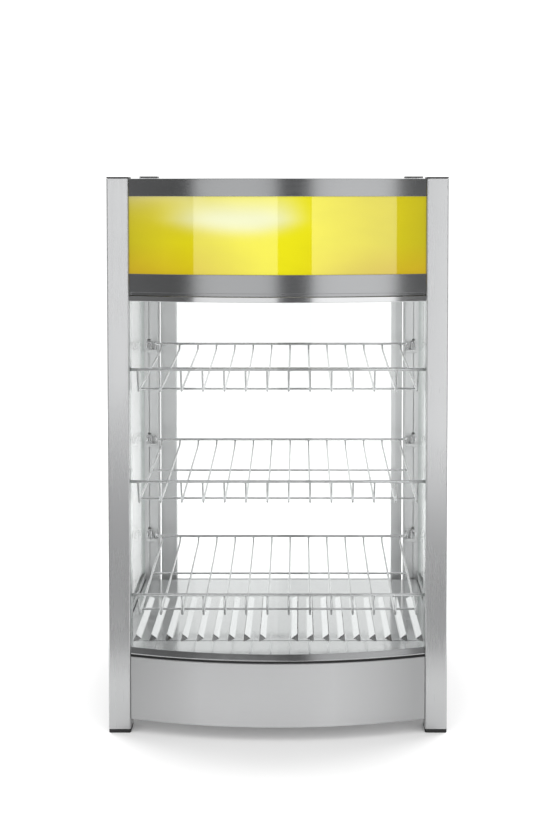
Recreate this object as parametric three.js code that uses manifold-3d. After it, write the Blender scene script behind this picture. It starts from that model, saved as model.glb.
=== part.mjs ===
// Heated holding cabinet: a counter-top pizza warmer with four square corner
// posts, a bowed front window, an illuminated canopy sign, three sloping wire
// shelves, a louvred hot deck and a hinged glass door at the back.
//
// Units are millimetres, +Z up. The front faces -Y and the operator stands on
// the +Y side. The origin is the middle of the footprint, on the table.
// Working Y below is counted from the front face of the front posts; the whole
// group is moved back by Y_MID at the end.

import * as THREE from "three";
import { mergeVertices } from "three/addons/utils/BufferGeometryUtils.js";
import Module from "manifold-3d";

const wasm = await Module();
wasm.setup();

// ---------------------------------------------------------------- dimensions
const WIDTH = 460; // over the posts
const HEIGHT = 756; // feet to post caps
const POST = 30; // square post section
const POST_WALL = 1.5;
const POST_R = 2.4; // outside corner radius
const REAR_FACE = 377; // back face of the rear posts
const REAR_POST_Y = REAR_FACE - POST; // front face of the rear posts
const Y_MID = 189.02; // half way between the bow of the front and the door handle

const BOW = 28; // rise of the bowed front over its chord
const BOW_HALF = 199.6; // half chord, just inside the posts
const BOW_R = (BOW_HALF * BOW_HALF + BOW * BOW) / (2 * BOW);
const BOW_APEX = -27; // foremost line of the bowed faces
const BOW_CY = BOW_APEX + BOW_R; // centre of the bow
const BOW_STEPS = 12;

const SHEET = 1.2;
const FOOT_H = 5;
const CAP_H = 2;
const REAR_RISE = 4.4; // how much further the rear posts stand up
const BASE_LOW = 18.5; // underside of the base box
const FASCIA_TOP = 105;
const DECK_TOP = 103.4;
const DECK_BACK = 336.5;
const CHANNEL_LOW = 108.5; // lower glass channel
const CHANNEL_HIGH = 117;
const HEAD_LOW = 589; // upper glass channel
const HEAD_HIGH = 596;
const BAND2_LOW = 601; // lower canopy band
const BAND2_HIGH = 626;
const BAND1_LOW = 730; // upper canopy band
const BAND1_HIGH = 753.8;
const GLASS = 4;

const SHELF_LEVELS = { top: 495, middle: 342, bottom: 186.2 }; // front rail centres
const WIRE_COUNT = 14;
const WIRE_PITCH = 29.3;
const WIRE_R = 1.5;
const RAIL_R = 2;
const SHELF_SLOPE = Math.tan(THREE.MathUtils.degToRad(4.35));

const LOUVRES = 9; // each side of the middle
const LOUVRE_FIRST = 18.5; // root of the first blade from the middle
const LOUVRE_PITCH = 22.1;
const LOUVRE_RUN = 7.4;
const LOUVRE_RISE = 5.4;
const LOUVRE_SLOT = 9.0; // width of the opening that a blade is raised out of
const LOUVRE_NOSE = 12.5; // length of the slanting end of an opening
const LOUVRE_FRONT = 61.2;
const LOUVRE_BACK = 259;

const DOOR_HALF = 197;
const DOOR_IN = 358; // inner face of the door
const DOOR_OUT = 376;
const DOOR_LOW = 70.5;
const DOOR_HIGH = 588;
const STILE = 25; // handle side
const HINGE_STILE = 17;
const PIVOT_X = 191.5;
const PIVOT_Y = 371.5;
const PIN_R = 2.5;
const PIN_BORE = 2.6;

const PANEL_Y = 373; // outer face of the rear panels
const CONTROL_Z = 43;
const KNOB_X = -62;
const POWER_X = 66;
const LIGHT_X = 22;
const GLAND_X = 150;
const ROCKER_TILT = THREE.MathUtils.degToRad(8);

// ------------------------------------------------------------------ materials
const steel = new THREE.MeshStandardMaterial({ color: 0xb9babb, roughness: 0.35, metalness: 1 });
const polished = new THREE.MeshStandardMaterial({ color: 0xd0d1d2, roughness: 0.12, metalness: 1 });
const posts = new THREE.MeshStandardMaterial({ color: 0xc4c5c6, roughness: 0.4, metalness: 1 });
const chrome = new THREE.MeshStandardMaterial({ color: 0xd6d8d9, roughness: 0.15, metalness: 1 });
const black = new THREE.MeshStandardMaterial({ color: 0x1d1d1e, roughness: 0.55, metalness: 0 });
const rubber = new THREE.MeshStandardMaterial({ color: 0x161616, roughness: 0.8, metalness: 0 });
const yellow = new THREE.MeshStandardMaterial({ color: 0xf0e008, roughness: 0.25, metalness: 0 });
const clear = new THREE.MeshStandardMaterial({ color: 0xe6f0ee, roughness: 0.03, metalness: 0, transparent: true, opacity: 0.25 });
const sheath = new THREE.MeshStandardMaterial({ color: 0x4a4642, roughness: 0.5, metalness: 1 });
const lampGlass = new THREE.MeshStandardMaterial({ color: 0xf6f4ee, roughness: 0.3, metalness: 0 });
const white = new THREE.MeshStandardMaterial({ color: 0xe9e9e6, roughness: 0.5, metalness: 0 });
const red = new THREE.MeshStandardMaterial({ color: 0xb3201b, roughness: 0.3, metalness: 0 });

// -------------------------------------------------------------------- helpers
function toSolid(geometry) {
  const g = geometry.index ? geometry.toNonIndexed() : geometry.clone();
  g.deleteAttribute("normal");
  g.deleteAttribute("uv");
  const merged = mergeVertices(g, 1e-4);
  return new wasm.Manifold(
    new wasm.Mesh({
      numProp: 3,
      vertProperties: new Float32Array(merged.attributes.position.array),
      triVerts: new Uint32Array(merged.index.array),
    }),
  );
}

function toGeometry(solid) {
  const m = solid.getMesh();
  const v = new Float32Array(m.numVert * 3);
  for (let i = 0; i < m.numVert; i++)
    v.set(m.vertProperties.subarray(i * m.numProp, i * m.numProp + 3), i * 3);
  const g = new THREE.BufferGeometry();
  g.setAttribute("position", new THREE.BufferAttribute(v, 3));
  g.setIndex(new THREE.BufferAttribute(new Uint32Array(m.triVerts), 1));
  g.computeVertexNormals();
  return g;
}

const union = (list) => list.slice(1).reduce((a, b) => a.add(b), list[0]);
const cut = (body, list) => list.reduce((a, b) => a.subtract(b), body);

// A box given by its limits.
function block(x0, x1, y0, y1, z0, z1) {
  const g = new THREE.BoxGeometry(x1 - x0, y1 - y0, z1 - z0);
  g.translate((x0 + x1) / 2, (y0 + y1) / 2, (z0 + z1) / 2);
  return toSolid(g);
}

// A flat outline in X and Y, raised from z0 to z1, less its holes.
function plate(points, z0, z1, holes = []) {
  const raise = (outline, low, high) => {
    const shape = new THREE.Shape(outline.map(([x, y]) => new THREE.Vector2(x, y)));
    const g = new THREE.ExtrudeGeometry(shape, { depth: high - low, bevelEnabled: false });
    g.translate(0, 0, low);
    return toSolid(g);
  };
  return cut(raise(points, z0, z1), holes.map((h) => raise(h, z0 - 1, z1 + 1)));
}

// A folded section in X and Z, run along Y from y0 to y1.
function runY(points, y0, y1) {
  const shape = new THREE.Shape(points.map(([x, z]) => new THREE.Vector2(x, z)));
  const g = new THREE.ExtrudeGeometry(shape, { depth: y1 - y0, bevelEnabled: false });
  g.rotateX(Math.PI / 2);
  g.translate(0, y1, 0);
  return toSolid(g);
}

// A folded section in Y and Z, run along X from x0 to x1.
function runX(points, x0, x1) {
  const shape = new THREE.Shape(points.map(([y, z]) => new THREE.Vector2(y, z)));
  const g = new THREE.ExtrudeGeometry(shape, { depth: x1 - x0, bevelEnabled: false });
  const m = new THREE.Matrix4().set(0, 0, 1, x0, 1, 0, 0, 0, 0, 1, 0, 0, 0, 0, 0, 1);
  g.applyMatrix4(m);
  return toSolid(g);
}

function roundRect(x0, x1, y0, y1, r, n = 2) {
  const points = [];
  const corner = (cx, cy, a0) => {
    for (let i = 0; i <= n; i++) {
      const a = a0 + (i / n) * (Math.PI / 2);
      points.push([cx + r * Math.cos(a), cy + r * Math.sin(a)]);
    }
  };
  corner(x1 - r, y1 - r, 0);
  corner(x0 + r, y1 - r, Math.PI / 2);
  corner(x0 + r, y0 + r, Math.PI);
  corner(x1 - r, y0 + r, 1.5 * Math.PI);
  return points;
}

// The Y of the bowed face at x, for a face set back from the foremost one.
const bowY = (x, back = 0) => BOW_CY - Math.sqrt((BOW_R - back) ** 2 - x * x);

// A strip bent to the bow, from one set-back to another.
function bowed(back0, back1, z0, z1, half = BOW_HALF, steps = BOW_STEPS) {
  const points = [];
  for (let i = 0; i <= steps; i++) {
    const x = -half + (2 * half * i) / steps;
    points.push([x, bowY(x, back0)]);
  }
  for (let i = steps; i >= 0; i--) {
    const x = -half + (2 * half * i) / steps;
    points.push([x, bowY(x, back1)]);
  }
  return plate(points, z0, z1);
}

// A convex outline of [set-back, z] points swept along the bow.
function bowedRun(outline, half = BOW_HALF, steps = BOW_STEPS) {
  const n = outline.length;
  const positions = [];
  const index = [];
  for (let i = 0; i <= steps; i++) {
    const x = -half + (2 * half * i) / steps;
    for (const [back, z] of outline) positions.push(x, bowY(x, back), z);
  }
  for (let i = 0; i < steps; i++) {
    for (let j = 0; j < n; j++) {
      const a = i * n + j;
      const b = i * n + ((j + 1) % n);
      index.push(a, a + n, b, b, a + n, b + n);
    }
  }
  for (let j = 1; j < n - 1; j++) {
    index.push(0, j, j + 1);
    index.push(steps * n, steps * n + j + 1, steps * n + j);
  }
  const g = new THREE.BufferGeometry();
  g.setAttribute("position", new THREE.Float32BufferAttribute(positions, 3));
  g.setIndex(index);
  const s = toSolid(g);
  return s.volume() < 0 ? toSolid(flip(g)) : s;
}

// An outline whose front edge follows the bow.
function bowedPlate(back, rest, half = BOW_HALF, steps = BOW_STEPS) {
  const points = [];
  for (let i = 0; i <= steps; i++) {
    const x = -half + (2 * half * i) / steps;
    points.push([x, bowY(x, back)]);
  }
  return points.concat(rest);
}

// A cylinder along an axis, given by its start, its length and its radius.
function rod(axis, at, length, radius, sides = 12) {
  const g = new THREE.CylinderGeometry(radius, radius, length, sides);
  g.translate(0, length / 2, 0);
  if (axis === "x") g.rotateZ(-Math.PI / 2);
  if (axis === "z") g.rotateX(Math.PI / 2);
  g.translate(...at);
  return toSolid(g);
}

// A route with straight stretches and mitred corners, for wires and tubes.
class Route extends THREE.Curve {
  constructor(points) {
    super();
    this.points = points.map((p) => new THREE.Vector3(...p));
  }
  getPoint(t) {
    const f = t * (this.points.length - 1);
    const i = Math.min(Math.floor(f), this.points.length - 2);
    return this.points[i].clone().lerp(this.points[i + 1], f - i);
  }
  getSpacedPoints() {
    return this.points.map((p) => p.clone());
  }
  getTangentAt(u) {
    const n = this.points.length;
    const i = Math.round(u * (n - 1));
    const a = this.points[Math.max(i - 1, 0)];
    const b = this.points[i];
    const c = this.points[Math.min(i + 1, n - 1)];
    const before = b.clone().sub(a).normalize();
    const after = c.clone().sub(b).normalize();
    return before.add(after).normalize();
  }
}

function wire(points, radius, sides = 6) {
  const section = new THREE.Shape();
  for (let i = 0; i < sides; i++) {
    const a = (2 * Math.PI * (i + 0.5)) / sides;
    const p = [radius * Math.cos(a), radius * Math.sin(a)];
    if (i === 0) section.moveTo(...p);
    else section.lineTo(...p);
  }
  const g = new THREE.ExtrudeGeometry(section, {
    steps: points.length - 1,
    extrudePath: new Route(points),
    bevelEnabled: false,
  });
  const s = toSolid(g);
  return s.volume() < 0 ? toSolid(flip(g)) : s;
}

function flip(g) {
  const f = g.index ? g.toNonIndexed() : g.clone();
  const p = f.attributes.position.array;
  for (let i = 0; i < p.length; i += 9)
    for (let k = 0; k < 3; k++) [p[i + 3 + k], p[i + 6 + k]] = [p[i + 6 + k], p[i + 3 + k]];
  return f;
}

// Corner points replaced by short arcs.
function rounded(points, r, n = 3) {
  const out = [points[0]];
  for (let i = 1; i < points.length - 1; i++) {
    const a = new THREE.Vector3(...points[i - 1]);
    const b = new THREE.Vector3(...points[i]);
    const c = new THREE.Vector3(...points[i + 1]);
    const u = a.clone().sub(b).normalize();
    const v = c.clone().sub(b).normalize();
    const p = b.clone().addScaledVector(u, r);
    const q = b.clone().addScaledVector(v, r);
    for (let k = 0; k <= n; k++) {
      const t = k / n;
      out.push(
        p.clone().multiplyScalar((1 - t) * (1 - t))
          .addScaledVector(b, 2 * t * (1 - t))
          .addScaledVector(q, t * t)
          .toArray(),
      );
    }
  }
  out.push(points[points.length - 1]);
  return out;
}

const mirrorX = (solid) => solid.mirror([1, 0, 0]);

const cabinet = new THREE.Group();
cabinet.position.y = -Y_MID;

function add(name, solid, material, parent = cabinet) {
  const mesh = new THREE.Mesh(toGeometry(solid), material);
  mesh.name = name;
  parent.add(mesh);
  return mesh;
}

// ---------------------------------------------------------- posts, feet, caps
const POST_LOW = FOOT_H + 0.3;

function post(x0, y0, top) {
  return plate(
    roundRect(x0, x0 + POST, y0, y0 + POST, POST_R, 3),
    POST_LOW,
    top - CAP_H - 0.3,
    [roundRect(x0 + POST_WALL, x0 + POST - POST_WALL, y0 + POST_WALL, y0 + POST - POST_WALL, POST_R - POST_WALL, 3)],
  );
}

// The ends of a shelf's front rail sit in upright slots in the inner walls.
const levels = Object.values(SHELF_LEVELS);
const frontSlots = levels.map((z) =>
  block(-WIDTH / 2 + POST - POST_WALL - 0.5, -WIDTH / 2 + POST + 0.5, 9.4, 14.6, z - RAIL_R - 0.4, z + RAIL_R + 13),
);
const frontLeft = cut(post(-WIDTH / 2, 0, HEIGHT), frontSlots);
add("post_front_left", frontLeft, posts);
add("post_front_right", mirrorX(frontLeft), posts);

// The rear posts have a narrow slot down the middle of their front wall, with
// a short level slot over each shelf bracket and a round hole at the deck.
const slotX = -WIDTH / 2 + POST / 2;
const rearHoles = [block(slotX - 0.6, slotX + 0.6, REAR_POST_Y - 1, REAR_POST_Y + POST_WALL + 0.5, 103, 586)];
rearHoles.push(rod("y", [slotX, REAR_POST_Y - 1, 102.6], POST_WALL + 1.5, 2.0, 8));
for (const z of levels.map((l) => l + 0.4)) {
  rearHoles.push(block(slotX - 1.8, slotX + 1.8, REAR_POST_Y - 1, REAR_POST_Y + POST_WALL + 0.5, z - 1.1, z + 1.1));
  for (const s of [-1, 1]) rearHoles.push(rod("y", [slotX + s * 1.8, REAR_POST_Y - 1, z], POST_WALL + 1.5, 1.1, 8));
}
const rearLeft = cut(post(-WIDTH / 2, REAR_POST_Y, HEIGHT + REAR_RISE), rearHoles);
add("post_rear_left", rearLeft, posts);
add("post_rear_right", mirrorX(rearLeft), posts);

function insert(x0, y0, z0, z1, p0, p1) {
  const i = POST_WALL + 0.4;
  return union([
    plate(roundRect(x0, x0 + POST, y0, y0 + POST, POST_R, 3), z0, z1),
    plate(roundRect(x0 + i, x0 + POST - i, y0 + i, y0 + POST - i, 1.2, 1), p0, p1),
  ]);
}
const corners = {
  front_left: [-WIDTH / 2, 0, HEIGHT],
  front_right: [WIDTH / 2 - POST, 0, HEIGHT],
  rear_left: [-WIDTH / 2, REAR_POST_Y, HEIGHT + REAR_RISE],
  rear_right: [WIDTH / 2 - POST, REAR_POST_Y, HEIGHT + REAR_RISE],
};
for (const [where, [x, y, top]] of Object.entries(corners)) {
  add("foot_" + where, insert(x, y, 0, FOOT_H, FOOT_H - 0.5, 18), rubber);
  add("post_cap_" + where, insert(x, y, top - CAP_H, top, top - 14, top - CAP_H + 0.5), black);
}

// ------------------------------------------------------------------- base box
add(
  "base_front_fascia",
  union([
    bowed(0, SHEET, BASE_LOW, FASCIA_TOP),
    bowed(0.3, 14, BASE_LOW, BASE_LOW + SHEET),
    bowed(0.3, 9, FASCIA_TOP - SHEET, FASCIA_TOP),
  ]),
  steel,
);

// A side sheet with a bottom flange, and a channel at the top for the glass.
const SIDE_OUT = WIDTH / 2 - 1.4;
const SIDE_IN = SIDE_OUT - SHEET;
const baseSide = runY(
  [
    [-SIDE_OUT, BASE_LOW],
    [-212, BASE_LOW],
    [-212, BASE_LOW + SHEET],
    [-SIDE_IN, BASE_LOW + SHEET],
    [-SIDE_IN, 105.8],
    [-221.4, 105.8],
    [-221.4, 113],
    [-222.6, 113],
    [-222.6, 107],
    [-SIDE_IN, 107],
    [-SIDE_IN, 113],
    [-SIDE_OUT, 113],
  ],
  POST + 0.4,
  REAR_POST_Y - 0.4,
);
add("base_side_panel_left", baseSide, steel);
add("base_side_panel_right", mirrorX(baseSide), steel);

// The back of the base carries the controls, and steps forward under the deck
// so that the door's bottom rail closes over it.
const rearSheet = runX(
  [
    [360, BASE_LOW],
    [PANEL_Y, BASE_LOW],
    [PANEL_Y, 68],
    [344.7, 68],
    [344.7, 101.8],
    [343.5, 101.8],
    [343.5, 66.8],
    [PANEL_Y - SHEET, 66.8],
    [PANEL_Y - SHEET, BASE_LOW + SHEET],
    [360, BASE_LOW + SHEET],
  ],
  -BOW_HALF,
  BOW_HALF,
);
const vents = [];
for (let i = 0; i < 5; i++) vents.push(block(-170 + i * 13, -165 + i * 13, PANEL_Y - 3, PANEL_Y + 1, 28, 56));
add(
  "base_rear_panel",
  cut(rearSheet, [
    block(POWER_X - 11, POWER_X + 11, PANEL_Y - 3, PANEL_Y + 1, CONTROL_Z - 14.2, CONTROL_Z + 14.2),
    block(LIGHT_X - 11, LIGHT_X + 11, PANEL_Y - 3, PANEL_Y + 1, CONTROL_Z - 14.2, CONTROL_Z + 14.2),
    rod("y", [KNOB_X, PANEL_Y - 3, CONTROL_Z], 5, 5.6, 12),
    rod("y", [GLAND_X, PANEL_Y - 3, CONTROL_Z], 5, 8.3, 12),
    ...vents,
  ]),
  steel,
);

// Bottom plate, with slots that let cool air in under the element.
const inletSlots = [];
for (let i = 0; i < 6; i++) inletSlots.push(block(-143 + i * 50, -107 + i * 50, 180, 188, 10, 30));
add(
  "base_bottom_plate",
  cut(plate(
    bowedPlate(2, [
      [BOW_HALF, POST + 0.4],
      [SIDE_IN - 0.4, POST + 0.4],
      [SIDE_IN - 0.4, REAR_POST_Y - 0.4],
      [BOW_HALF, REAR_POST_Y - 0.4],
      [BOW_HALF, PANEL_Y - SHEET - 0.4],
      [-BOW_HALF, PANEL_Y - SHEET - 0.4],
      [-BOW_HALF, REAR_POST_Y - 0.4],
      [-SIDE_IN + 0.4, REAR_POST_Y - 0.4],
      [-SIDE_IN + 0.4, POST + 0.4],
      [-BOW_HALF, POST + 0.4],
    ]),
    BASE_LOW + SHEET + 0.3,
    BASE_LOW + 2 * SHEET + 0.3,
  ), inletSlots),
  steel,
);

// Louvred deck. Each blade is cut on three sides and raised along its inner
// edge, so that it opens outwards; the blades mirror about the middle.
const deckPoints = bowedPlate(3, [
  [BOW_HALF, POST + 0.4],
  [SIDE_IN - 0.6, POST + 0.4],
  [SIDE_IN - 0.6, DECK_BACK],
  [-SIDE_IN + 0.6, DECK_BACK],
  [-SIDE_IN + 0.6, POST + 0.4],
  [-BOW_HALF, POST + 0.4],
]);
const deckLow = DECK_TOP - SHEET;
const edgeFold = block(SIDE_IN - 0.6 - SHEET, SIDE_IN - 0.6, POST + 0.4, DECK_BACK, DECK_TOP - 14, DECK_TOP);
const deckHoles = [];
const blades = [];
for (let k = 0; k < LOUVRES; k++) {
  const a = LOUVRE_FIRST + k * LOUVRE_PITCH;
  const t = 1.0;
  const hole = plate(
    [
      [a, LOUVRE_FRONT + LOUVRE_NOSE],
      [a + LOUVRE_SLOT, LOUVRE_FRONT],
      [a + LOUVRE_SLOT, LOUVRE_BACK],
      [a, LOUVRE_BACK - LOUVRE_NOSE],
    ],
    deckLow - 1,
    DECK_TOP + 1,
  );
  deckHoles.push(hole, mirrorX(hole));
  const y0 = LOUVRE_FRONT + LOUVRE_NOSE + 0.2;
  const y1 = LOUVRE_BACK - LOUVRE_NOSE - 0.2;
  const lean = 5; // how far the ends of a blade lean in over its own width
  const strip = runY(
    [
      [a - 1.6, deckLow],
      [a + 0.1, deckLow],
      [a + LOUVRE_RUN + 0.6, DECK_TOP + LOUVRE_RISE - t],
      [a + LOUVRE_RUN, DECK_TOP + LOUVRE_RISE],
      [a - 0.6, DECK_TOP],
      [a - 1.6, DECK_TOP],
    ],
    y0 - 1,
    y1 + 1,
  );
  const ends = [
    plate([[a - 3, y0 - 3], [a + 14, y0 - 3], [a + 14, y0 + lean], [a, y0], [a - 3, y0]], deckLow - 3, DECK_TOP + 12),
    plate([[a - 3, y1], [a, y1], [a + 14, y1 - lean], [a + 14, y1 + 3], [a - 3, y1 + 3]], deckLow - 3, DECK_TOP + 12),
  ];
  const blade = cut(strip, ends);
  blades.push(blade, mirrorX(blade));
}
add("louvre_deck", union([cut(plate(deckPoints, deckLow, DECK_TOP), deckHoles), edgeFold, mirrorX(edgeFold), ...blades]), polished);

add("sill_gasket", bowed(2, 10, FASCIA_TOP + 0.3, CHANNEL_LOW - 0.3), rubber);
add(
  "lower_glass_channel",
  union([
    bowed(1, 11, CHANNEL_LOW, CHANNEL_LOW + 1.3),
    bowed(1, 2.3, CHANNEL_LOW, CHANNEL_LOW + 1.8),
    bowedRun([
      [1, CHANNEL_LOW + 1.5],
      [3, CHANNEL_HIGH],
      [3.65, CHANNEL_HIGH],
      [2.3, CHANNEL_LOW + 1.4],
    ]),
    bowed(9.7, 11, CHANNEL_LOW, CHANNEL_LOW + 4.5),
  ]),
  polished,
);

// --------------------------------------------------------------------- canopy
add(
  "upper_glass_channel",
  union([
    bowed(1, 11, HEAD_HIGH - 1.2, HEAD_HIGH),
    bowed(1, 2.3, HEAD_LOW, HEAD_HIGH),
    bowed(9.7, 11, HEAD_LOW, HEAD_HIGH),
  ]),
  polished,
);
add(
  "canopy_bottom_band",
  union([
    bowed(0, SHEET, BAND2_LOW, BAND2_HIGH),
    bowed(0.3, 6.2, BAND2_LOW, BAND2_LOW + SHEET),
    bowed(5, 6.2, HEAD_HIGH + 0.4, BAND2_LOW + SHEET),
    bowed(5, 14, HEAD_HIGH + 0.4, HEAD_HIGH + 0.4 + SHEET),
  ]),
  steel,
);
add(
  "canopy_top_band",
  union([bowed(0, SHEET, BAND1_LOW, BAND1_HIGH), bowed(0.3, 10, BAND1_HIGH - SHEET, BAND1_HIGH)]),
  steel,
);
add("sign_panel", bowed(SHEET + 0.4, SHEET + 3.4, 612, 741), yellow);

const canopySide = runY(
  [
    [-SIDE_OUT, 583],
    [-SIDE_IN, 583],
    [-SIDE_IN, HEAD_LOW],
    [-222.6, HEAD_LOW],
    [-222.6, 583],
    [-221.4, 583],
    [-221.4, HEAD_LOW + SHEET],
    [-SIDE_IN, HEAD_LOW + SHEET],
    [-SIDE_IN, BAND1_HIGH - SHEET],
    [-212, BAND1_HIGH - SHEET],
    [-212, BAND1_HIGH],
    [-SIDE_OUT, BAND1_HIGH],
  ],
  POST + 0.4,
  REAR_POST_Y - 0.4,
);
add("canopy_side_panel_left", canopySide, steel);
add("canopy_side_panel_right", mirrorX(canopySide), steel);

const canopyVents = [];
for (let i = 0; i < 6; i++) canopyVents.push(block(-60 + i * 22, -60 + i * 22 + 10, PANEL_Y - 3, PANEL_Y + 1, 700, 724));
add(
  "canopy_rear_panel",
  cut(
    runX(
      [
        [359, 590.8],
        [PANEL_Y, 590.8],
        [PANEL_Y, BAND1_HIGH],
        [361, BAND1_HIGH],
        [361, BAND1_HIGH - SHEET],
        [PANEL_Y - SHEET, BAND1_HIGH - SHEET],
        [PANEL_Y - SHEET, 592],
        [359, 592],
      ],
      -BOW_HALF,
      BOW_HALF,
    ),
    canopyVents,
  ),
  steel,
);

const lidSlots = [];
for (let i = 0; i < 7; i++) lidSlots.push(block(-134 + i * 40, -106 + i * 40, 300, 305, 740, 760));
const roof = (back) =>
  bowedPlate(back, [
    [BOW_HALF, POST + 0.4],
    [SIDE_IN - 0.4, POST + 0.4],
    [SIDE_IN - 0.4, REAR_POST_Y - 0.4],
    [BOW_HALF, REAR_POST_Y - 0.4],
    [BOW_HALF, PANEL_Y - SHEET - 0.4],
    [-BOW_HALF, PANEL_Y - SHEET - 0.4],
    [-BOW_HALF, REAR_POST_Y - 0.4],
    [-SIDE_IN + 0.4, REAR_POST_Y - 0.4],
    [-SIDE_IN + 0.4, POST + 0.4],
    [-BOW_HALF, POST + 0.4],
  ]);
add("canopy_lid", cut(plate(roof(1.6), 751.1, 752.3), lidSlots), steel);

// The ceiling over the shelves, with a window for the lamp.
add(
  "ceiling_panel",
  plate(roof(11.5), 592.4, 593.6, [
    [
      [-146, 48],
      [146, 48],
      [146, 104],
      [-146, 104],
    ],
  ]),
  polished,
);

// ---------------------------------------------------------------------- glass
add("front_glass", bowed(4, 4 + GLASS, CHANNEL_LOW + 1.7, HEAD_HIGH - 1.6), clear);
const sideGlass = block(-227, -223, POST + 0.6, REAR_POST_Y - 0.6, 107.4, HEAD_LOW - 0.4);
add("side_glass_left", sideGlass, clear);
add("side_glass_right", mirrorX(sideGlass), clear);

// ------------------------------------------------------------------ rear door
const stileOutline = (s, wide, groove) => [
  [s * (DOOR_HALF - wide), DOOR_IN],
  [s * DOOR_HALF, DOOR_IN],
  [s * DOOR_HALF, DOOR_OUT],
  [s * (DOOR_HALF - wide), DOOR_OUT],
  [s * (DOOR_HALF - wide), 369.6],
  [s * (DOOR_HALF - wide + groove), 369.6],
  [s * (DOOR_HALF - wide + groove), 364.4],
  [s * (DOOR_HALF - wide), 364.4],
];
const chamber = (x0, x1, y0, y1) => [
  [x0, y0],
  [x1, y0],
  [x1, y1],
  [x0, y1],
];
add(
  "door_stile_hinge_side",
  cut(plate(stileOutline(1, HINGE_STILE, 6.5), DOOR_LOW, DOOR_HIGH, [chamber(188.2, 195.2, 359.8, 367.2)]), [
    rod("z", [PIVOT_X, PIVOT_Y, DOOR_LOW - 1], 16, PIN_BORE, 16),
    rod("z", [PIVOT_X, PIVOT_Y, DOOR_HIGH - 15], 16, PIN_BORE, 16),
  ]),
  posts,
);
add(
  "door_stile_handle_side",
  plate(stileOutline(-1, STILE, 8), DOOR_LOW, DOOR_HIGH, [chamber(-187.4, -182, 360.2, 373.8)]),
  posts,
);

function doorRail(z0, z1, up) {
  // The groove for the glass opens towards the middle of the door.
  const inner = up ? z1 : z0;
  const deep = up ? z1 - 8 : z0 + 8;
  return runX(
    [
      [DOOR_IN, up ? z0 : z1],
      [DOOR_OUT, up ? z0 : z1],
      [DOOR_OUT, inner],
      [369.6, inner],
      [369.6, deep],
      [364.4, deep],
      [364.4, inner],
      [DOOR_IN, inner],
    ],
    -(DOOR_HALF - STILE - 0.3),
    DOOR_HALF - HINGE_STILE - 0.3,
  );
}
const fixSign = (s) => (s.volume() < 0 ? toSolid(flip(toGeometry(s))) : s);
add("door_bottom_rail", fixSign(doorRail(DOOR_LOW, DOOR_LOW + STILE, true)), posts);
add("door_top_rail", fixSign(doorRail(DOOR_HIGH - STILE, DOOR_HIGH, false)), posts);
add("door_glass", block(-179.4, 185.9, 365, 369, DOOR_LOW + STILE - 7.4, DOOR_HIGH - STILE + 7.4), clear);
add(
  "door_handle",
  wire(
    rounded(
      [
        [-184.5, DOOR_OUT + 0.3, 270],
        [-184.5, 400.3, 270],
        [-184.5, 400.3, 390],
        [-184.5, DOOR_OUT + 0.3, 390],
      ],
      13,
      3,
    ),
    5,
    10,
  ),
  black,
);

const pivot = (plateLow, plateHigh, pinLow, pinHigh) =>
  union([block(181, 199.2, 361, 375.6, plateLow, plateHigh), rod("z", [PIVOT_X, PIVOT_Y, pinLow], pinHigh - pinLow, PIN_R, 16)]);
add("door_pivot_bottom", pivot(68.3, 69.8, 69, 83), posts);
add("door_pivot_top", pivot(589, 590.5, 575, 590), posts);
add("magnetic_catch", block(-186, -146, 346, 357.6, 577, 592), black);

// -------------------------------------------------------------------- shelves
function shelf(z) {
  const corner = [23, z - 31.4];
  const back = [300, z - 31.4 + (300 - 23) * SHELF_SLOPE];
  const pieces = [];
  for (let i = 0; i < WIRE_COUNT; i++) {
    const x = (i - (WIRE_COUNT - 1) / 2) * WIRE_PITCH;
    pieces.push(
      wire(
        [
          [x, 13.4, z - 0.6],
          [x, corner[0], corner[1]],
          [x, back[0], back[1]],
          [x, 306.4, z - 2.2],
        ],
        WIRE_R,
      ),
    );
  }
  const floorZ = (y) => corner[1] + (y - corner[0]) * SHELF_SLOPE;
  const last = ((WIRE_COUNT - 1) / 2) * WIRE_PITCH;
  const under = 2 * WIRE_R - 0.4;
  pieces.push(rod("x", [-203, 12, z], 406, RAIL_R, 8));
  pieces.push(rod("x", [-last - 1, 49, floorZ(49) - under], 2 * last + 2, WIRE_R, 6));
  pieces.push(rod("x", [-last - 1, 179, floorZ(179) - under], 2 * last + 2, WIRE_R, 6));
  pieces.push(rod("x", [-198, 307, z - 1.4], 396, RAIL_R, 8));
  for (const s of [-1, 1])
    pieces.push(
      wire(
        [
          [s * 196, 307, z - 1.4],
          [s * 205, 325, z - 2.6],
          [s * 209, 341.3, z - 4.4],
          [s * 209, 341.31, z - 18.1],
        ],
        WIRE_R,
      ),
    );
  return union(pieces);
}

// A square plate with a turned-up lip, in which the shelf's hook hangs.
function bracket(z, s) {
  const j = runX(
    [
      [336, z - 20],
      [346.7, z - 20],
      [346.7, z - 2],
      [345.2, z - 2],
      [345.2, z - 18.5],
      [337.5, z - 18.5],
      [337.5, z - 10],
      [336, z - 10],
    ],
    -219.4,
    -200.9,
  );
  return s > 0 ? mirrorX(j) : j;
}

for (const [level, z] of Object.entries(SHELF_LEVELS)) {
  add("shelf_" + level, shelf(z), chrome);
  add("shelf_bracket_" + level + "_left", bracket(z, -1), steel);
  add("shelf_bracket_" + level + "_right", bracket(z, 1), steel);
}

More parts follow.
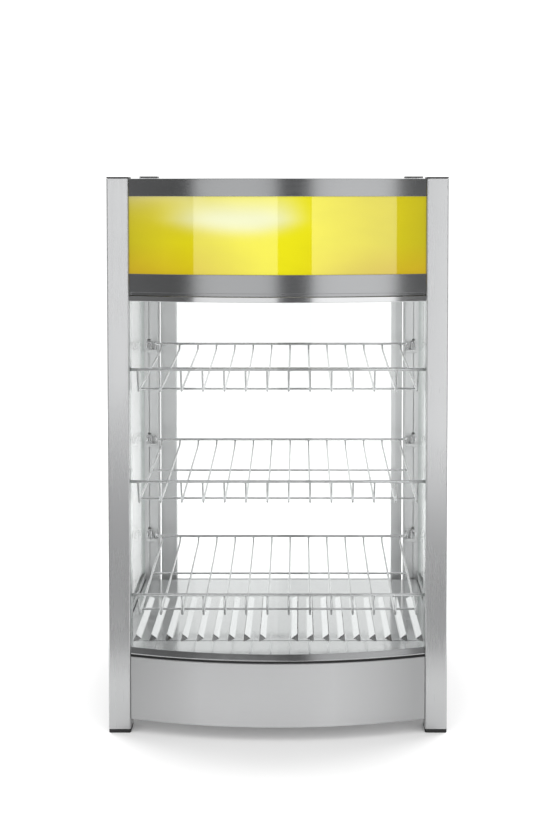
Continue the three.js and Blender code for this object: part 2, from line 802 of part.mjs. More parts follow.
// --------------------------------------------------------- heating and control
// Serpentine tube on two straps that stand on the bottom plate.
const strap = (y) =>
  union([
    block(-178, 178, y, y + 8, 57.2, 58.6),
    block(-178, -176.6, y, y + 8, 21.6, 58.6),
    block(176.6, 178, y, y + 8, 21.6, 58.6),
  ]);
add(
  "heating_element",
  union([wire(
    rounded(
      [
        [-20, 336, 62],
        [-20, 292, 62],
        [-165, 292, 62],
        [-165, 86, 62],
        [-60, 86, 62],
        [-60, 240, 62],
        [60, 240, 62],
        [60, 86, 62],
        [165, 86, 62],
        [165, 292, 62],
        [20, 292, 62],
        [20, 336, 62],
      ],
      26,
      3,
    ),
    4,
    6,
  ), strap(120), strap(226)]),
  sheath,
);

// Thermostat with its threaded neck, spindle, capillary and bulb.
add(
  "thermostat_body",
  union([
    block(KNOB_X - 19, KNOB_X + 19, 338, 371.4, CONTROL_Z - 16, CONTROL_Z + 16),
    rod("y", [KNOB_X, 371, CONTROL_Z], 2.5, 5, 12),
    rod("y", [KNOB_X, 373, CONTROL_Z], 12, 3.1, 20),
    wire(
      rounded(
        [
          [KNOB_X - 6, 339, CONTROL_Z + 6],
          [KNOB_X - 6, 316, CONTROL_Z + 6],
          [KNOB_X - 6, 316, 88],
          [-101, 316, 90],
        ],
        8,
        3,
      ),
      0.9,
      6,
    ),
    rod("x", [-180, 316, 90], 80, 3.2, 10),
  ]),
  sheath,
);

// Turned knob with a raised pointer; its bore takes the spindle.
const knobTurn = new THREE.LatheGeometry(
  [
    [3.2, 0],
    [18, 0],
    [18, 3.5],
    [15.2, 5],
    [14.2, 16.5],
    [12.8, 18],
    [0, 18],
    [0, 12.6],
    [3.2, 12.6],
    [3.2, 0],
  ].map(([r, h]) => new THREE.Vector2(r, h)),
  20,
);
knobTurn.translate(KNOB_X, 373.8, 0);
const knob = fixSign(toSolid(knobTurn)).translate([0, 0, CONTROL_Z]);
add("thermostat_knob", union([knob, block(KNOB_X - 1.6, KNOB_X + 1.6, 387.5, 392.6, CONTROL_Z + 2, CONTROL_Z + 15)]), black);

// Rocker switches: a housing with a bezel, and the rocker on its own pivot.
const ROCKER_PIVOT = [370, CONTROL_Z];
function switchHousing(x) {
  const z = CONTROL_Z;
  return cut(
    union([
      block(x - 12.8, x + 12.8, PANEL_Y + 0.3, PANEL_Y + 2.3, z - 16, z + 16),
      block(x - 10.6, x + 10.6, 348, PANEL_Y + 1, z - 13.8, z + 13.8),
    ]),
    [
      block(x - 9.2, x + 9.2, 361, PANEL_Y + 4, z - 12.8, z + 12.8),
      rod("x", [x - 10, ROCKER_PIVOT[0], z], 20, 1.45, 8),
    ],
  );
}
function rocker(x) {
  const profile = [
    [-5, -6],
    [7.2, -11.2],
    [5.6, 0],
    [7.2, 11.2],
    [-5, 6],
  ].map(([y, z]) => {
    const c = Math.cos(-ROCKER_TILT);
    const s = Math.sin(-ROCKER_TILT);
    return [ROCKER_PIVOT[0] + y * c - z * s, ROCKER_PIVOT[1] + y * s + z * c];
  });
  return runX(profile, x - 8.8, x + 8.8).add(rod("x", [x - 9.8, ROCKER_PIVOT[0], CONTROL_Z], 19.6, 1.3, 8));
}
add("power_switch_body", switchHousing(POWER_X), black);
add("power_switch_rocker", rocker(POWER_X), red);
add("light_switch_body", switchHousing(LIGHT_X), black);
add("light_switch_rocker", rocker(LIGHT_X), white);

// Cable gland for the mains lead.
add(
  "cable_gland",
  cut(
    union([
      rod("y", [GLAND_X, PANEL_Y + 0.3, CONTROL_Z], 6, 12.5, 6),
      rod("y", [GLAND_X, PANEL_Y + 5, CONTROL_Z], 14, 9.6, 16),
      rod("y", [GLAND_X, 356, CONTROL_Z], 20, 7.9, 12),
    ]),
    [rod("y", [GLAND_X, 350, CONTROL_Z], 50, 4.2, 12)],
  ),
  black,
);

// ----------------------------------------------------------------- sign lamp
add(
  "lamp_batten",
  union([
    block(-160, 160, 112, 138, 593.9, 610),
    block(-160, -149, 62, 114, 593.9, 634),
    block(149, 160, 62, 114, 593.9, 634),
  ]),
  white,
);
add("lamp_tube", rod("x", [-148.6, 76, 622], 297.2, 8, 16), lampGlass);

export default cabinet;
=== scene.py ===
import math
import random

import bpy
import bmesh
from mathutils import Matrix, Vector


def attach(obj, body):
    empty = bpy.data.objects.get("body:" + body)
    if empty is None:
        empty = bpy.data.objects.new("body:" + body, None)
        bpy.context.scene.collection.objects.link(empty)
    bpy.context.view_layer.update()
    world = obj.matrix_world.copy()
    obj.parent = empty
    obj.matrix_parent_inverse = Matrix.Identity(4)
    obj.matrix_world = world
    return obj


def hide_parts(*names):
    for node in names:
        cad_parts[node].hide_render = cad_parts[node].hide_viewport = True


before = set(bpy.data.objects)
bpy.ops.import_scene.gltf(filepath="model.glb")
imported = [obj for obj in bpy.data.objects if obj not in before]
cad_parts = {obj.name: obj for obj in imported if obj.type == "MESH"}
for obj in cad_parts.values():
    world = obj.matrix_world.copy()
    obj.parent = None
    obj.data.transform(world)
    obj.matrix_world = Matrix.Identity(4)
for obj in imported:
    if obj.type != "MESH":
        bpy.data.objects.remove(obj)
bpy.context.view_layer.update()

random.seed(11)

# ------------------------------------------------------------------ dimensions
# Millimetres, as in the model: Y is counted from the front face of the front posts.
OFF = 189.02
WIDTH, HEIGHT = 460.0, 756.0
POST, POST_WALL, POST_R = 30.0, 1.5, 2.4
REAR_POST_Y = 347.0
BOW, BOW_HALF = 28.0, 199.6
BOW_R = (BOW_HALF ** 2 + BOW ** 2) / (2 * BOW)
BOW_CY = -27.0 + BOW_R
SHEET = 1.2
FOOT_H, CAP_H = 5.0, 2.0
REAR_RISE = 4.4  # how much further the rear posts stand up
BASE_LOW, FASCIA_TOP = 18.5, 105.0
DECK_TOP, DECK_BACK = 103.4, 341.7
CHANNEL_LOW, CHANNEL_HIGH = 108.5, 117.0
HEAD_LOW, HEAD_HIGH = 589.0, 596.0
BAND2_LOW, BAND2_HIGH = 601.0, 626.0
BAND1_LOW, BAND1_HIGH = 730.0, 753.8
SHELVES = {"top": 495.0, "middle": 342.0, "bottom": 186.2}
SLOPE = math.tan(math.radians(4.35))
SIDE_OUT = WIDTH / 2 - 1.4
SIDE_IN = SIDE_OUT - SHEET
KNOB_X, POWER_X, LIGHT_X, GLAND_X, CONTROL_Z, PANEL_Y = -62.0, 66.0, 22.0, 150.0, 43.0, 373.0


def P(x, y, z):
    return Vector((x * 0.001, (y - OFF) * 0.001, z * 0.001))


def bow_y(x, back=0.0):
    return BOW_CY - math.sqrt((BOW_R - back) ** 2 - x * x)


# ------------------------------------------------------------------- materials
def material(name):
    m = bpy.data.materials.new(name)
    m.use_nodes = True
    nt = m.node_tree
    return m, nt, nt.nodes, nt.links, nt.nodes["Principled BSDF"]


def coords(nodes, links, scale, rotation=(0, 0, 0), kind="Object"):
    tc = nodes.new("ShaderNodeTexCoord")
    mp = nodes.new("ShaderNodeMapping")
    mp.inputs["Scale"].default_value = scale
    mp.inputs["Rotation"].default_value = rotation
    links.new(tc.outputs[kind], mp.inputs["Vector"])
    return mp.outputs["Vector"]


def noise(nodes, links, vector, scale=1.0, detail=4.0, rough=0.55):
    n = nodes.new("ShaderNodeTexNoise")
    n.inputs["Scale"].default_value = scale
    n.inputs["Detail"].default_value = detail
    n.inputs["Roughness"].default_value = rough
    links.new(vector, n.inputs["Vector"])
    return n.outputs["Fac"]


def remap(nodes, links, value, a, b, lo=0.3, hi=0.7):
    r = nodes.new("ShaderNodeMapRange")
    r.inputs["From Min"].default_value = lo
    r.inputs["From Max"].default_value = hi
    r.inputs["To Min"].default_value = a
    r.inputs["To Max"].default_value = b
    links.new(value, r.inputs["Value"])
    return r.outputs["Result"]


def math_node(nodes, links, op, a, b=None):
    n = nodes.new("ShaderNodeMath")
    n.operation = op
    for i, v in enumerate((a, b)):
        if v is None:
            continue
        if isinstance(v, (int, float)):
            n.inputs[i].default_value = v
        else:
            links.new(v, n.inputs[i])
    return n.outputs["Value"]


def bump(nodes, links, height, strength, distance, normal=None):
    b = nodes.new("ShaderNodeBump")
    b.inputs["Strength"].default_value = strength
    b.inputs["Distance"].default_value = distance
    links.new(height, b.inputs["Height"])
    if normal is not None:
        links.new(normal, b.inputs["Normal"])
    return b.outputs["Normal"]


def two_tone(nodes, links, fac, a, b):
    m = nodes.new("ShaderNodeMix")
    m.data_type = "RGBA"
    m.inputs[6].default_value = (*a, 1)
    m.inputs[7].default_value = (*b, 1)
    links.new(fac, m.inputs[0])
    return m.outputs[2]


def brushed(name, tone, rough, along, aniso=0.6, turn=0.25, fine=900.0, spread=0.10, blotch=0.04, contrast=0.07, metal=1.0, ends=1.0, foot=1.0):
    """Steel with hairline brushing along one axis, faint handling marks and a little tone variation."""
    m, nt, nodes, links, p = material(name)
    stretch = [fine, fine, fine]
    stretch["xyz".index(along)] = fine / 60.0
    hair = noise(nodes, links, coords(nodes, links, stretch), 1.0, 3.0, 0.6)
    longer = [v / 4.0 for v in stretch]
    hair2 = noise(nodes, links, coords(nodes, links, longer), 1.0, 2.0, 0.5)
    marks = noise(nodes, links, coords(nodes, links, (9, 9, 9)), 1.0, 3.0, 0.5)
    both = math_node(nodes, links, "ADD", math_node(nodes, links, "MULTIPLY", hair, 0.6), math_node(nodes, links, "MULTIPLY", hair2, 0.4))
    r = remap(nodes, links, both, rough - spread / 2, rough + spread / 2)
    r = math_node(nodes, links, "ADD", r, remap(nodes, links, marks, -blotch, blotch))
    links.new(r, p.inputs["Roughness"])
    dark = tuple(v * (1 - contrast) for v in tone)
    colour = two_tone(nodes, links, remap(nodes, links, both, 0.0, 1.0), dark, tone)
    if ends < 1.0:  # darker towards the two ends of the sheet: painted shade
        tc = nodes.new("ShaderNodeTexCoord")
        sep = nodes.new("ShaderNodeSeparateXYZ")
        links.new(tc.outputs["Object"], sep.inputs[0])
        out = remap(nodes, links, math_node(nodes, links, "ABSOLUTE", math_node(nodes, links, "ADD", sep.outputs["X"], 0.015)), 0.0, 1.0, 0.09, 0.20)
        m2 = nodes.new("ShaderNodeMix")
        m2.data_type = "RGBA"
        m2.blend_type = "MULTIPLY"
        m2.inputs[7].default_value = (ends, ends, ends, 1)
        links.new(out, m2.inputs[0])
        links.new(colour, m2.inputs[6])
        colour = m2.outputs[2]
    if foot < 1.0:  # darker near the table: painted shade
        tc = nodes.new("ShaderNodeTexCoord")
        sep = nodes.new("ShaderNodeSeparateXYZ")
        links.new(tc.outputs["Object"], sep.inputs[0])
        m2 = nodes.new("ShaderNodeMix")
        m2.data_type = "RGBA"
        m2.blend_type = "MULTIPLY"
        m2.inputs[7].default_value = (foot, foot, foot, 1)
        links.new(remap(nodes, links, sep.outputs["Z"], 1.0, 0.0, 0.092, 0.155), m2.inputs[0])
        links.new(colour, m2.inputs[6])
        colour = m2.outputs[2]
    links.new(colour, p.inputs["Base Color"])
    p.inputs["Metallic"].default_value = metal
    p.inputs["Anisotropic"].default_value = aniso
    p.inputs["Anisotropic Rotation"].default_value = turn
    t = nodes.new("ShaderNodeTangent")
    t.direction_type = "RADIAL"
    t.axis = "Z"
    links.new(t.outputs["Tangent"], p.inputs["Tangent"])
    links.new(bump(nodes, links, both, 0.06, 0.00003), p.inputs["Normal"])
    return m


def polished(name, tone, rough, marks_amount=0.05, metal=1.0):
    """Mirror-finished steel with faint wiping marks."""
    m, nt, nodes, links, p = material(name)
    wipe = noise(nodes, links, coords(nodes, links, (60, 14, 60), (0, 0, 0.5)), 1.0, 4.0, 0.6)
    cloud = noise(nodes, links, coords(nodes, links, (22, 22, 22)), 1.0, 2.0, 0.5)
    r = math_node(nodes, links, "ADD", remap(nodes, links, wipe, rough, rough + marks_amount), remap(nodes, links, cloud, 0.0, marks_amount * 0.6))
    links.new(r, p.inputs["Roughness"])
    links.new(two_tone(nodes, links, cloud, tuple(v * 0.96 for v in tone), tone), p.inputs["Base Color"])
    p.inputs["Metallic"].default_value = metal
    links.new(bump(nodes, links, cloud, 0.02, 0.0003), p.inputs["Normal"])
    return m


def moulded(name, tone, rough, grain=2600.0, depth=0.00003, strength=0.25, vary=0.25):
    """Moulded plastic or rubber with a fine grain and dust-dulled patches."""
    m, nt, nodes, links, p = material(name)
    g = noise(nodes, links, coords(nodes, links, (grain,) * 3), 1.0, 3.0, 0.6)
    c = noise(nodes, links, coords(nodes, links, (45, 45, 45)), 1.0, 3.0, 0.55)
    links.new(remap(nodes, links, c, rough - 0.06, rough + 0.08), p.inputs["Roughness"])
    light = tuple(min(1.0, v * (1 + vary) + 0.002) for v in tone)
    links.new(two_tone(nodes, links, remap(nodes, links, c, 0.0, 1.0), tone, light), p.inputs["Base Color"])
    links.new(bump(nodes, links, g, strength, depth), p.inputs["Normal"])
    return m


def pane(name, tint, reflect=1.0):
    """A thin clear pane: what is behind shows straight through, and both faces mirror by Fresnel."""
    m, nt, nodes, links, p = material(name)
    nodes.remove(p)
    out = nodes["Material Output"]
    clear = nodes.new("ShaderNodeBsdfTransparent")
    clear.inputs["Color"].default_value = (*tint, 1)
    gloss = nodes.new("ShaderNodeBsdfGlossy")
    gloss.inputs["Color"].default_value = (1, 1, 1, 1)
    smear = noise(nodes, links, coords(nodes, links, (16, 16, 9)), 1.0, 4.0, 0.6)
    links.new(remap(nodes, links, smear, 0.0, 0.05), gloss.inputs["Roughness"])
    lw = nodes.new("ShaderNodeLayerWeight")
    lw.inputs["Blend"].default_value = 0.5
    steep = math_node(nodes, links, "POWER", lw.outputs["Facing"], 5.0)
    fr = nodes.new("ShaderNodeMath")
    fr.operation = "MULTIPLY_ADD"
    fr.inputs[1].default_value, fr.inputs[2].default_value = 0.96, 0.04
    links.new(steep, fr.inputs[0])
    fac = math_node(nodes, links, "MULTIPLY", fr.outputs[0], reflect)
    mix = nodes.new("ShaderNodeMixShader")
    links.new(fac, mix.inputs[0])
    links.new(clear.outputs[0], mix.inputs[1])
    links.new(gloss.outputs[0], mix.inputs[2])
    links.new(mix.outputs[0], out.inputs["Surface"])
    return m


M = {}
# The fascia is painted darker towards its ends: painted shade.
M["fascia"] = brushed("steel_fascia", (0.63, 0.635, 0.64), 0.52, "x", 0.6, 0.25, spread=0.05, blotch=0.02, contrast=0.03, ends=0.68)
M["band"] = brushed("steel_band", (0.34, 0.345, 0.35), 0.19, "x", 0.6, 0.25, spread=0.04, blotch=0.015, contrast=0.04)
# Posts, front and rear, are painted darker near the table: painted shade.
M["post"] = brushed("steel_post", (0.61, 0.615, 0.62), 0.26, "z", 0.5, 0.0, spread=0.05, blotch=0.02, contrast=0.03, foot=0.74)
# A paler, part-matt copy of the post steel for faces towards the inside: painted light.
M["inner_post"] = brushed("steel_rear_post", (0.81, 0.815, 0.82), 0.36, "z", 0.4, 0.0, spread=0.06, blotch=0.03, contrast=0.05, metal=0.6)
M["outer_post"] = brushed("steel_rear_post_outside", (0.58, 0.585, 0.59), 0.30, "z", 0.5, 0.0, spread=0.06, blotch=0.03, contrast=0.05, foot=0.86)
M["panel"] = brushed("steel_panel", (0.48, 0.485, 0.49), 0.34, "y", 0.6, 0.25, spread=0.06, blotch=0.03, contrast=0.04)
M["panel_x"] = brushed("steel_panel_rear", (0.50, 0.505, 0.51), 0.34, "x", 0.6, 0.25, spread=0.06, blotch=0.03, contrast=0.04)
# The door steels are paler, part-matt copies of the post steel: painted light.
M["door"] = brushed("steel_door", (0.76, 0.765, 0.77), 0.34, "z", 0.4, 0.0, spread=0.05, blotch=0.03, contrast=0.05, metal=0.65)
M["door_x"] = brushed("steel_door_rail", (0.76, 0.765, 0.77), 0.34, "x", 0.5, 0.25, spread=0.05, blotch=0.03, contrast=0.05, metal=0.65)
M["polished"] = polished("steel_polished", (0.58, 0.585, 0.59), 0.06)
M["sill"] = polished("steel_sill", (0.38, 0.385, 0.39), 0.12, 0.04)
M["deck"] = polished("steel_deck", (0.69, 0.695, 0.70), 0.08, 0.04)
M["base_floor"] = brushed("steel_base_floor", (0.78, 0.785, 0.79), 0.45, "x", 0.5, 0.25, spread=0.06, blotch=0.03, contrast=0.04, metal=0.4)
M["chrome"] = polished("chrome_wire", (0.62, 0.625, 0.63), 0.10, 0.05, metal=0.8)
M["bracket"] = brushed("steel_bracket", (0.78, 0.785, 0.79), 0.42, "z", 0.4, 0.0, spread=0.06, blotch=0.03, contrast=0.05, metal=0.4)
M["black"] = moulded("plastic_black", (0.014, 0.014, 0.015), 0.42)
M["cap"] = moulded("plastic_cap", (0.02, 0.02, 0.021), 0.5)
M["rubber"] = moulded("rubber_black", (0.009, 0.009, 0.009), 0.72, 1500.0, 0.00006, 0.5)
M["white"] = moulded("plastic_white", (0.80, 0.80, 0.78), 0.38, vary=0.03)
M["red"] = moulded("plastic_red", (0.50, 0.012, 0.010), 0.25, vary=0.10)
M["sheath"] = moulded("element_sheath", (0.075, 0.066, 0.058), 0.45, 900.0, 0.00005, 0.4, 0.8)
M["brass"] = polished("terminal_brass", (0.72, 0.55, 0.27), 0.22)
M["ink"] = moulded("print_black", (0.02, 0.02, 0.022), 0.55)
M["ink_white"] = moulded("print_white", (0.82, 0.82, 0.80), 0.5, vary=0.03)
M["glass"] = pane("glass_clear", (0.993, 0.998, 0.996))
M["side_glass"] = pane("glass_side", (0.992, 0.995, 0.994), 0.8)
M["glass_edge"] = moulded("glass_edge", (0.45, 0.50, 0.48), 0.15, 400.0, 0.0001, 0.2, 0.3)


def sheath_metal():
    m = M["sheath"]
    p = m.node_tree.nodes["Principled BSDF"]
    p.inputs["Metallic"].default_value = 0.85


sheath_metal()


def sign():
    """Glossy translucent yellow sheet, lit from behind by a tube that glows strongest left of the middle."""
    m, nt, nodes, links, p = material("sign_yellow")
    tc = nodes.new("ShaderNodeTexCoord")
    sep = nodes.new("ShaderNodeSeparateXYZ")
    links.new(tc.outputs["Object"], sep.inputs[0])
    x, z = sep.outputs["X"], sep.outputs["Z"]

    def blob(cx, cz, rx, rz):
        dx = math_node(nodes, links, "MULTIPLY", math_node(nodes, links, "SUBTRACT", x, cx), 1 / rx)
        dz = math_node(nodes, links, "MULTIPLY", math_node(nodes, links, "SUBTRACT", z, cz), 1 / rz)
        d2 = math_node(nodes, links, "ADD", math_node(nodes, links, "MULTIPLY", dx, dx), math_node(nodes, links, "MULTIPLY", dz, dz))
        return math_node(nodes, links, "POWER", 2.718, math_node(nodes, links, "MULTIPLY", d2, -1.0))

    # The patch of light: soft above, cut off more sharply below, longer to the left than to the right.
    def squared(value, centre, below, above):
        d = math_node(nodes, links, "SUBTRACT", value, centre)
        low_part = math_node(nodes, links, "MULTIPLY", math_node(nodes, links, "MINIMUM", d, 0.0), 1 / below)
        high_part = math_node(nodes, links, "MULTIPLY", math_node(nodes, links, "MAXIMUM", d, 0.0), 1 / above)
        both = math_node(nodes, links, "ADD", low_part, high_part)
        return math_node(nodes, links, "MULTIPLY", both, both)

    # q across, v downwards, u upwards: exp(-(q*q + 2*q*v + v*v + u))
    q = squared(x, -0.041, 0.092, 0.064)
    v = math_node(nodes, links, "POWER", squared(z, 0.6995, 0.0182, 1e3), 0.7)
    u = math_node(nodes, links, "POWER", squared(z, 0.6995, 1e3, 0.0240), 0.85)
    qv = math_node(nodes, links, "ADD", q, v)
    t = math_node(nodes, links, "ADD", math_node(nodes, links, "MULTIPLY", qv, qv), u)
    glow = math_node(nodes, links, "POWER", 2.718, math_node(nodes, links, "MULTIPLY", t, -1.0))
    above = math_node(nodes, links, "POWER", 2.718, math_node(nodes, links, "MULTIPLY", math_node(nodes, links, "SUBTRACT", z, 0.726), 84.0))
    upper_left = math_node(nodes, links, "MULTIPLY", above, remap(nodes, links, x, 1.0, 0.0, -0.120, -0.088))
    middle = blob(0.0, 0.68, 0.11, 10.0)
    rim = remap(nodes, links, math_node(nodes, links, "ABSOLUTE", x), 0.0, 1.0, 0.15, 0.195)
    low = remap(nodes, links, z, 1.0, 0.0, 0.626, 0.668)
    ends = remap(nodes, links, math_node(nodes, links, "ABSOLUTE", x), 0.10, 1.0, 0.02, 0.19)
    warm = math_node(nodes, links, "MULTIPLY", low, ends)
    cloud = noise(nodes, links, coords(nodes, links, (14, 14, 30)), 1.0, 2.0, 0.5)

    def blend(fac, a, b):
        m2 = nodes.new("ShaderNodeMix")
        m2.data_type = "RGBA"
        links.new(fac, m2.inputs[0])
        for i, v in ((6, a), (7, b)):
            if isinstance(v, tuple):
                m2.inputs[i].default_value = (*v, 1)
            else:
                links.new(v, m2.inputs[i])
        return m2.outputs[2]

    body = blend(middle, (0.60, 0.512, 0.0), (0.80, 0.742, 0.0))
    body = blend(math_node(nodes, links, "MULTIPLY", rim, 0.15), body, (0.0, 0.0, 0.0))
    body = blend(math_node(nodes, links, "MULTIPLY", warm, 0.8), body, (0.55, 0.35, 0.004))
    body = blend(math_node(nodes, links, "MULTIPLY", upper_left, 0.20), body, (0.70, 0.68, 0.62))
    body = blend(math_node(nodes, links, "MULTIPLY", glow, 0.80), body, (0.78, 0.81, 0.60))
    half_body = nodes.new("ShaderNodeMix")
    half_body.data_type = "RGBA"
    half_body.inputs[0].default_value = 0.5
    half_body.inputs[7].default_value = (0, 0, 0, 1)
    links.new(body, half_body.inputs[6])
    links.new(half_body.outputs[2], p.inputs["Base Color"])
    links.new(body, p.inputs["Emission Color"])
    links.new(remap(nodes, links, cloud, 0.40, 0.46), p.inputs["Emission Strength"])
    links.new(remap(nodes, links, cloud, 0.02, 0.05), p.inputs["Roughness"])
    p.inputs["IOR"].default_value = 1.58
    p.inputs["Coat Weight"].default_value = 1.0
    p.inputs["Coat Roughness"].default_value = 0.02
    return m


M["sign"] = sign()


def lamp():
    m, nt, nodes, links, p = material("lamp_glass")
    c = noise(nodes, links, coords(nodes, links, (60, 60, 60)), 1.0, 2.0, 0.5)
    links.new(two_tone(nodes, links, c, (0.88, 0.86, 0.80), (0.95, 0.94, 0.90)), p.inputs["Base Color"])
    links.new(remap(nodes, links, c, 0.22, 0.32), p.inputs["Roughness"])
    p.inputs["Emission Color"].default_value = (1.0, 0.93, 0.80, 1)
    p.inputs["Emission Strength"].default_value = 1.2
    return m


M["lamp"] = lamp()


# ---------------------------------------------------------------- mesh helpers
def finish_mesh(name, bm, body, mats, replaces=(), bevel=0.0, segments=2, sharp=50.0, weighted=True, pick=None):
    bmesh.ops.recalc_face_normals(bm, faces=bm.faces[:])
    if pick:
        bm.normal_update()
        for f in bm.faces:
            f.material_index = pick(f)
    if bevel > 0:
        edges = [e for e in bm.edges if len(e.link_faces) == 2 and e.calc_face_angle(0.0) > math.radians(28)]
        bmesh.ops.bevel(bm, geom=edges, offset=bevel * 0.001, offset_type="OFFSET", segments=segments, profile=0.5, affect="EDGES", clamp_overlap=True)
    for f in bm.faces:
        f.smooth = True
    me = bpy.data.meshes.new(name)
    bm.to_mesh(me)
    bm.free()
    me.set_sharp_from_angle(angle=math.radians(sharp))
    for m in mats if isinstance(mats, (list, tuple)) else [mats]:
        me.materials.append(m)
    ob = bpy.data.objects.new(name, me)
    bpy.context.scene.collection.objects.link(ob)
    if weighted:
        w = ob.modifiers.new("normals", "WEIGHTED_NORMAL")
        w.keep_sharp = True
        w.weight = 80
    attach(ob, body)
    if replaces:
        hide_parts(*replaces)
    return ob


def add_faces(bm, verts, faces, mat=0):
    vs = [bm.verts.new(v) for v in verts]
    for f in faces:
        face = bm.faces.new([vs[i] for i in f])
        face.material_index = mat
    return vs


def round_poly(points, r, n=3, only=None):
    """A closed 2D outline with its corners rounded."""
    out = []
    count = len(points)
    for i, b in enumerate(points):
        a, c = Vector(points[i - 1]), Vector(points[(i + 1) % count])
        b = Vector(b)
        rr = r[i] if isinstance(r, (list, tuple)) else r
        if rr <= 0 or (only is not None and i not in only):
            out.append(tuple(b))
            continue
        u, v = a - b, c - b
        lu, lv = u.length, v.length
        u.normalize(), v.normalize()
        angle = u.angle(v)
        t = min(rr / math.tan(angle / 2), lu * 0.48, lv * 0.48)
        real = t * math.tan(angle / 2)
        mid = (u + v).normalized()
        centre = b + mid * (real / math.sin(angle / 2))
        p0, p1 = b + u * t, b + v * t
        d0, d1 = p0 - centre, p1 - centre
        sweep = d0.angle_signed(d1)
        for k in range(n + 1):
            d = d0.copy()
            d.rotate(Matrix.Rotation(-sweep * k / n, 2))
            out.append(tuple(centre + d))
    return out


def bow_sweep(bm, profile, half=BOW_HALF, steps=72, mat=0):
    n = len(profile)
    verts = []
    for i in range(steps + 1):
        x = -half + 2 * half * i / steps
        verts += [P(x, bow_y(x, b), z) for b, z in profile]
    faces = []
    for i in range(steps):
        for j in range(n):
            a, b = i * n + j, i * n + (j + 1) % n
            faces.append((a, b, b + n, a + n))
    faces.append(tuple(range(n - 1, -1, -1)))
    faces.append(tuple(steps * n + j for j in range(n)))
    return add_faces(bm, verts, faces, mat)


def run(bm, profile, axis, a, b, mat=0, steps=1):
    """A closed outline run along an axis: outline in (x, z) for y, (y, z) for x, (x, y) for z."""
    n = len(profile)
    verts = []
    for i in range(steps + 1):
        t = a + (b - a) * i / steps
        for u, v in profile:
            verts.append({"y": P(u, t, v), "x": P(t, u, v), "z": P(u, v, t)}[axis])
    faces = []
    for i in range(steps):
        for j in range(n):
            p, q = i * n + j, i * n + (j + 1) % n
            faces.append((p, q, q + n, p + n))
    faces.append(tuple(range(n - 1, -1, -1)))
    faces.append(tuple(steps * n + j for j in range(n)))
    return add_faces(bm, verts, faces, mat)


def fillet_path(points, r, n=5):
    out = [Vector(points[0])]
    for i in range(1, len(points) - 1):
        a, b, c = (Vector(points[k]) for k in (i - 1, i, i + 1))
        u, v = a - b, c - b
        lu, lv = u.length, v.length
        u.normalize(), v.normalize()
        angle = u.angle(v)
        if angle > math.pi - 0.01:
            out.append(b)
            continue
        t = min(r / math.tan(angle / 2), lu * 0.48, lv * 0.48)
        rr = t * math.tan(angle / 2)
        centre = b + (u + v).normalized() * (rr / math.sin(angle / 2))
        d0, d1 = b + u * t - centre, b + v * t - centre
        axis = d0.cross(d1)
        sweep = d0.angle(d1)
        for k in range(n + 1):
            out.append(centre + Matrix.Rotation(sweep * k / n, 3, axis) @ d0)
    out.append(Vector(points[-1]))
    return out


def tube(bm, points, r, sides=12, mat=0, dome=True):
    """A round wire through points given in millimetres, with softly domed ends."""
    pts = [Vector(p) for p in points]
    tangents = []
    for i in range(len(pts)):
        a, c = pts[max(i - 1, 0)], pts[min(i + 1, len(pts) - 1)]
        tangents.append((c - a).normalized())
    ref = Vector((1, 0, 0)) if abs(tangents[0].x) < 0.8 else Vector((0, 0, 1))
    normal = tangents[0].cross(ref).normalized()
    rings = []
    previous = tangents[0]
    frames = []
    for i, t in enumerate(tangents):
        axis = previous.cross(t)
        if axis.length > 1e-7:
            normal = Matrix.Rotation(previous.angle(t), 3, axis) @ normal
        normal = (normal - t * normal.dot(t)).normalized()
        frames.append((pts[i], t, normal, t.cross(normal)))
        previous = t
    def ring(c, n, b, rad):
        return [bm.verts.new(P(*(c + n * (math.cos(2 * math.pi * k / sides) * rad) + b * (math.sin(2 * math.pi * k / sides) * rad)))) for k in range(sides)]
    c, t, n, b = frames[0]
    if dome:
        rings.append(ring(c - t * r * 0.45, n, b, r * 0.5))
        rings.append(ring(c - t * r * 0.25, n, b, r * 0.85))
    for c, t, n, b in frames:
        rings.append(ring(c, n, b, r))
    c, t, n, b = frames[-1]
    if dome:
        rings.append(ring(c + t * r * 0.25, n, b, r * 0.85))
        rings.append(ring(c + t * r * 0.45, n, b, r * 0.5))
    for a, d in zip(rings, rings[1:]):
        for k in range(sides):
            f = bm.faces.new((a[k], a[(k + 1) % sides], d[(k + 1) % sides], d[k]))
            f.material_index = mat
    bm.faces.new(rings[0][::-1]).material_index = mat
    bm.faces.new(rings[-1]).material_index = mat


def lathe(bm, centre, axis, profile, sides=48, mat=0):
    """profile: (radius, distance along the axis), first and last on the axis or closed up."""
    axis = Vector(axis).normalized()
    ref = Vector((0, 0, 1)) if abs(axis.z) < 0.9 else Vector((1, 0, 0))
    u = axis.cross(ref).normalized()
    v = axis.cross(u)
    c = Vector(centre)
    rings = []
    for r, h in profile:
        if r < 1e-6:
            rings.append([bm.verts.new(P(*(c + axis * h)))])
        else:
            rings.append([bm.verts.new(P(*(c + axis * h + u * (math.cos(2 * math.pi * k / sides) * r) + v * (math.sin(2 * math.pi * k / sides) * r)))) for k in range(sides)])
    for a, b in zip(rings, rings[1:]):
        for k in range(sides):
            k2 = (k + 1) % sides
            if len(a) == 1 and len(b) == 1:
                continue
            if len(a) == 1:
                f = bm.faces.new((a[0], b[k], b[k2]))
            elif len(b) == 1:
                f = bm.faces.new((a[k], b[0], a[k2]))
            else:
                f = bm.faces.new((a[k], b[k], b[k2], a[k2]))
            f.material_index = mat
    return rings


def ball(bm, centre, r, stretch=(1, 1, 1), sub=1, mat=0):
    made = bmesh.ops.create_icosphere(bm, subdivisions=sub, radius=1.0)["verts"]
    c = P(*centre)
    for v in made:
        v.co = Vector((v.co.x * r * stretch[0], v.co.y * r * stretch[1], v.co.z * r * stretch[2])) * 0.001 + c
        for f in v.link_faces:
            f.material_index = mat


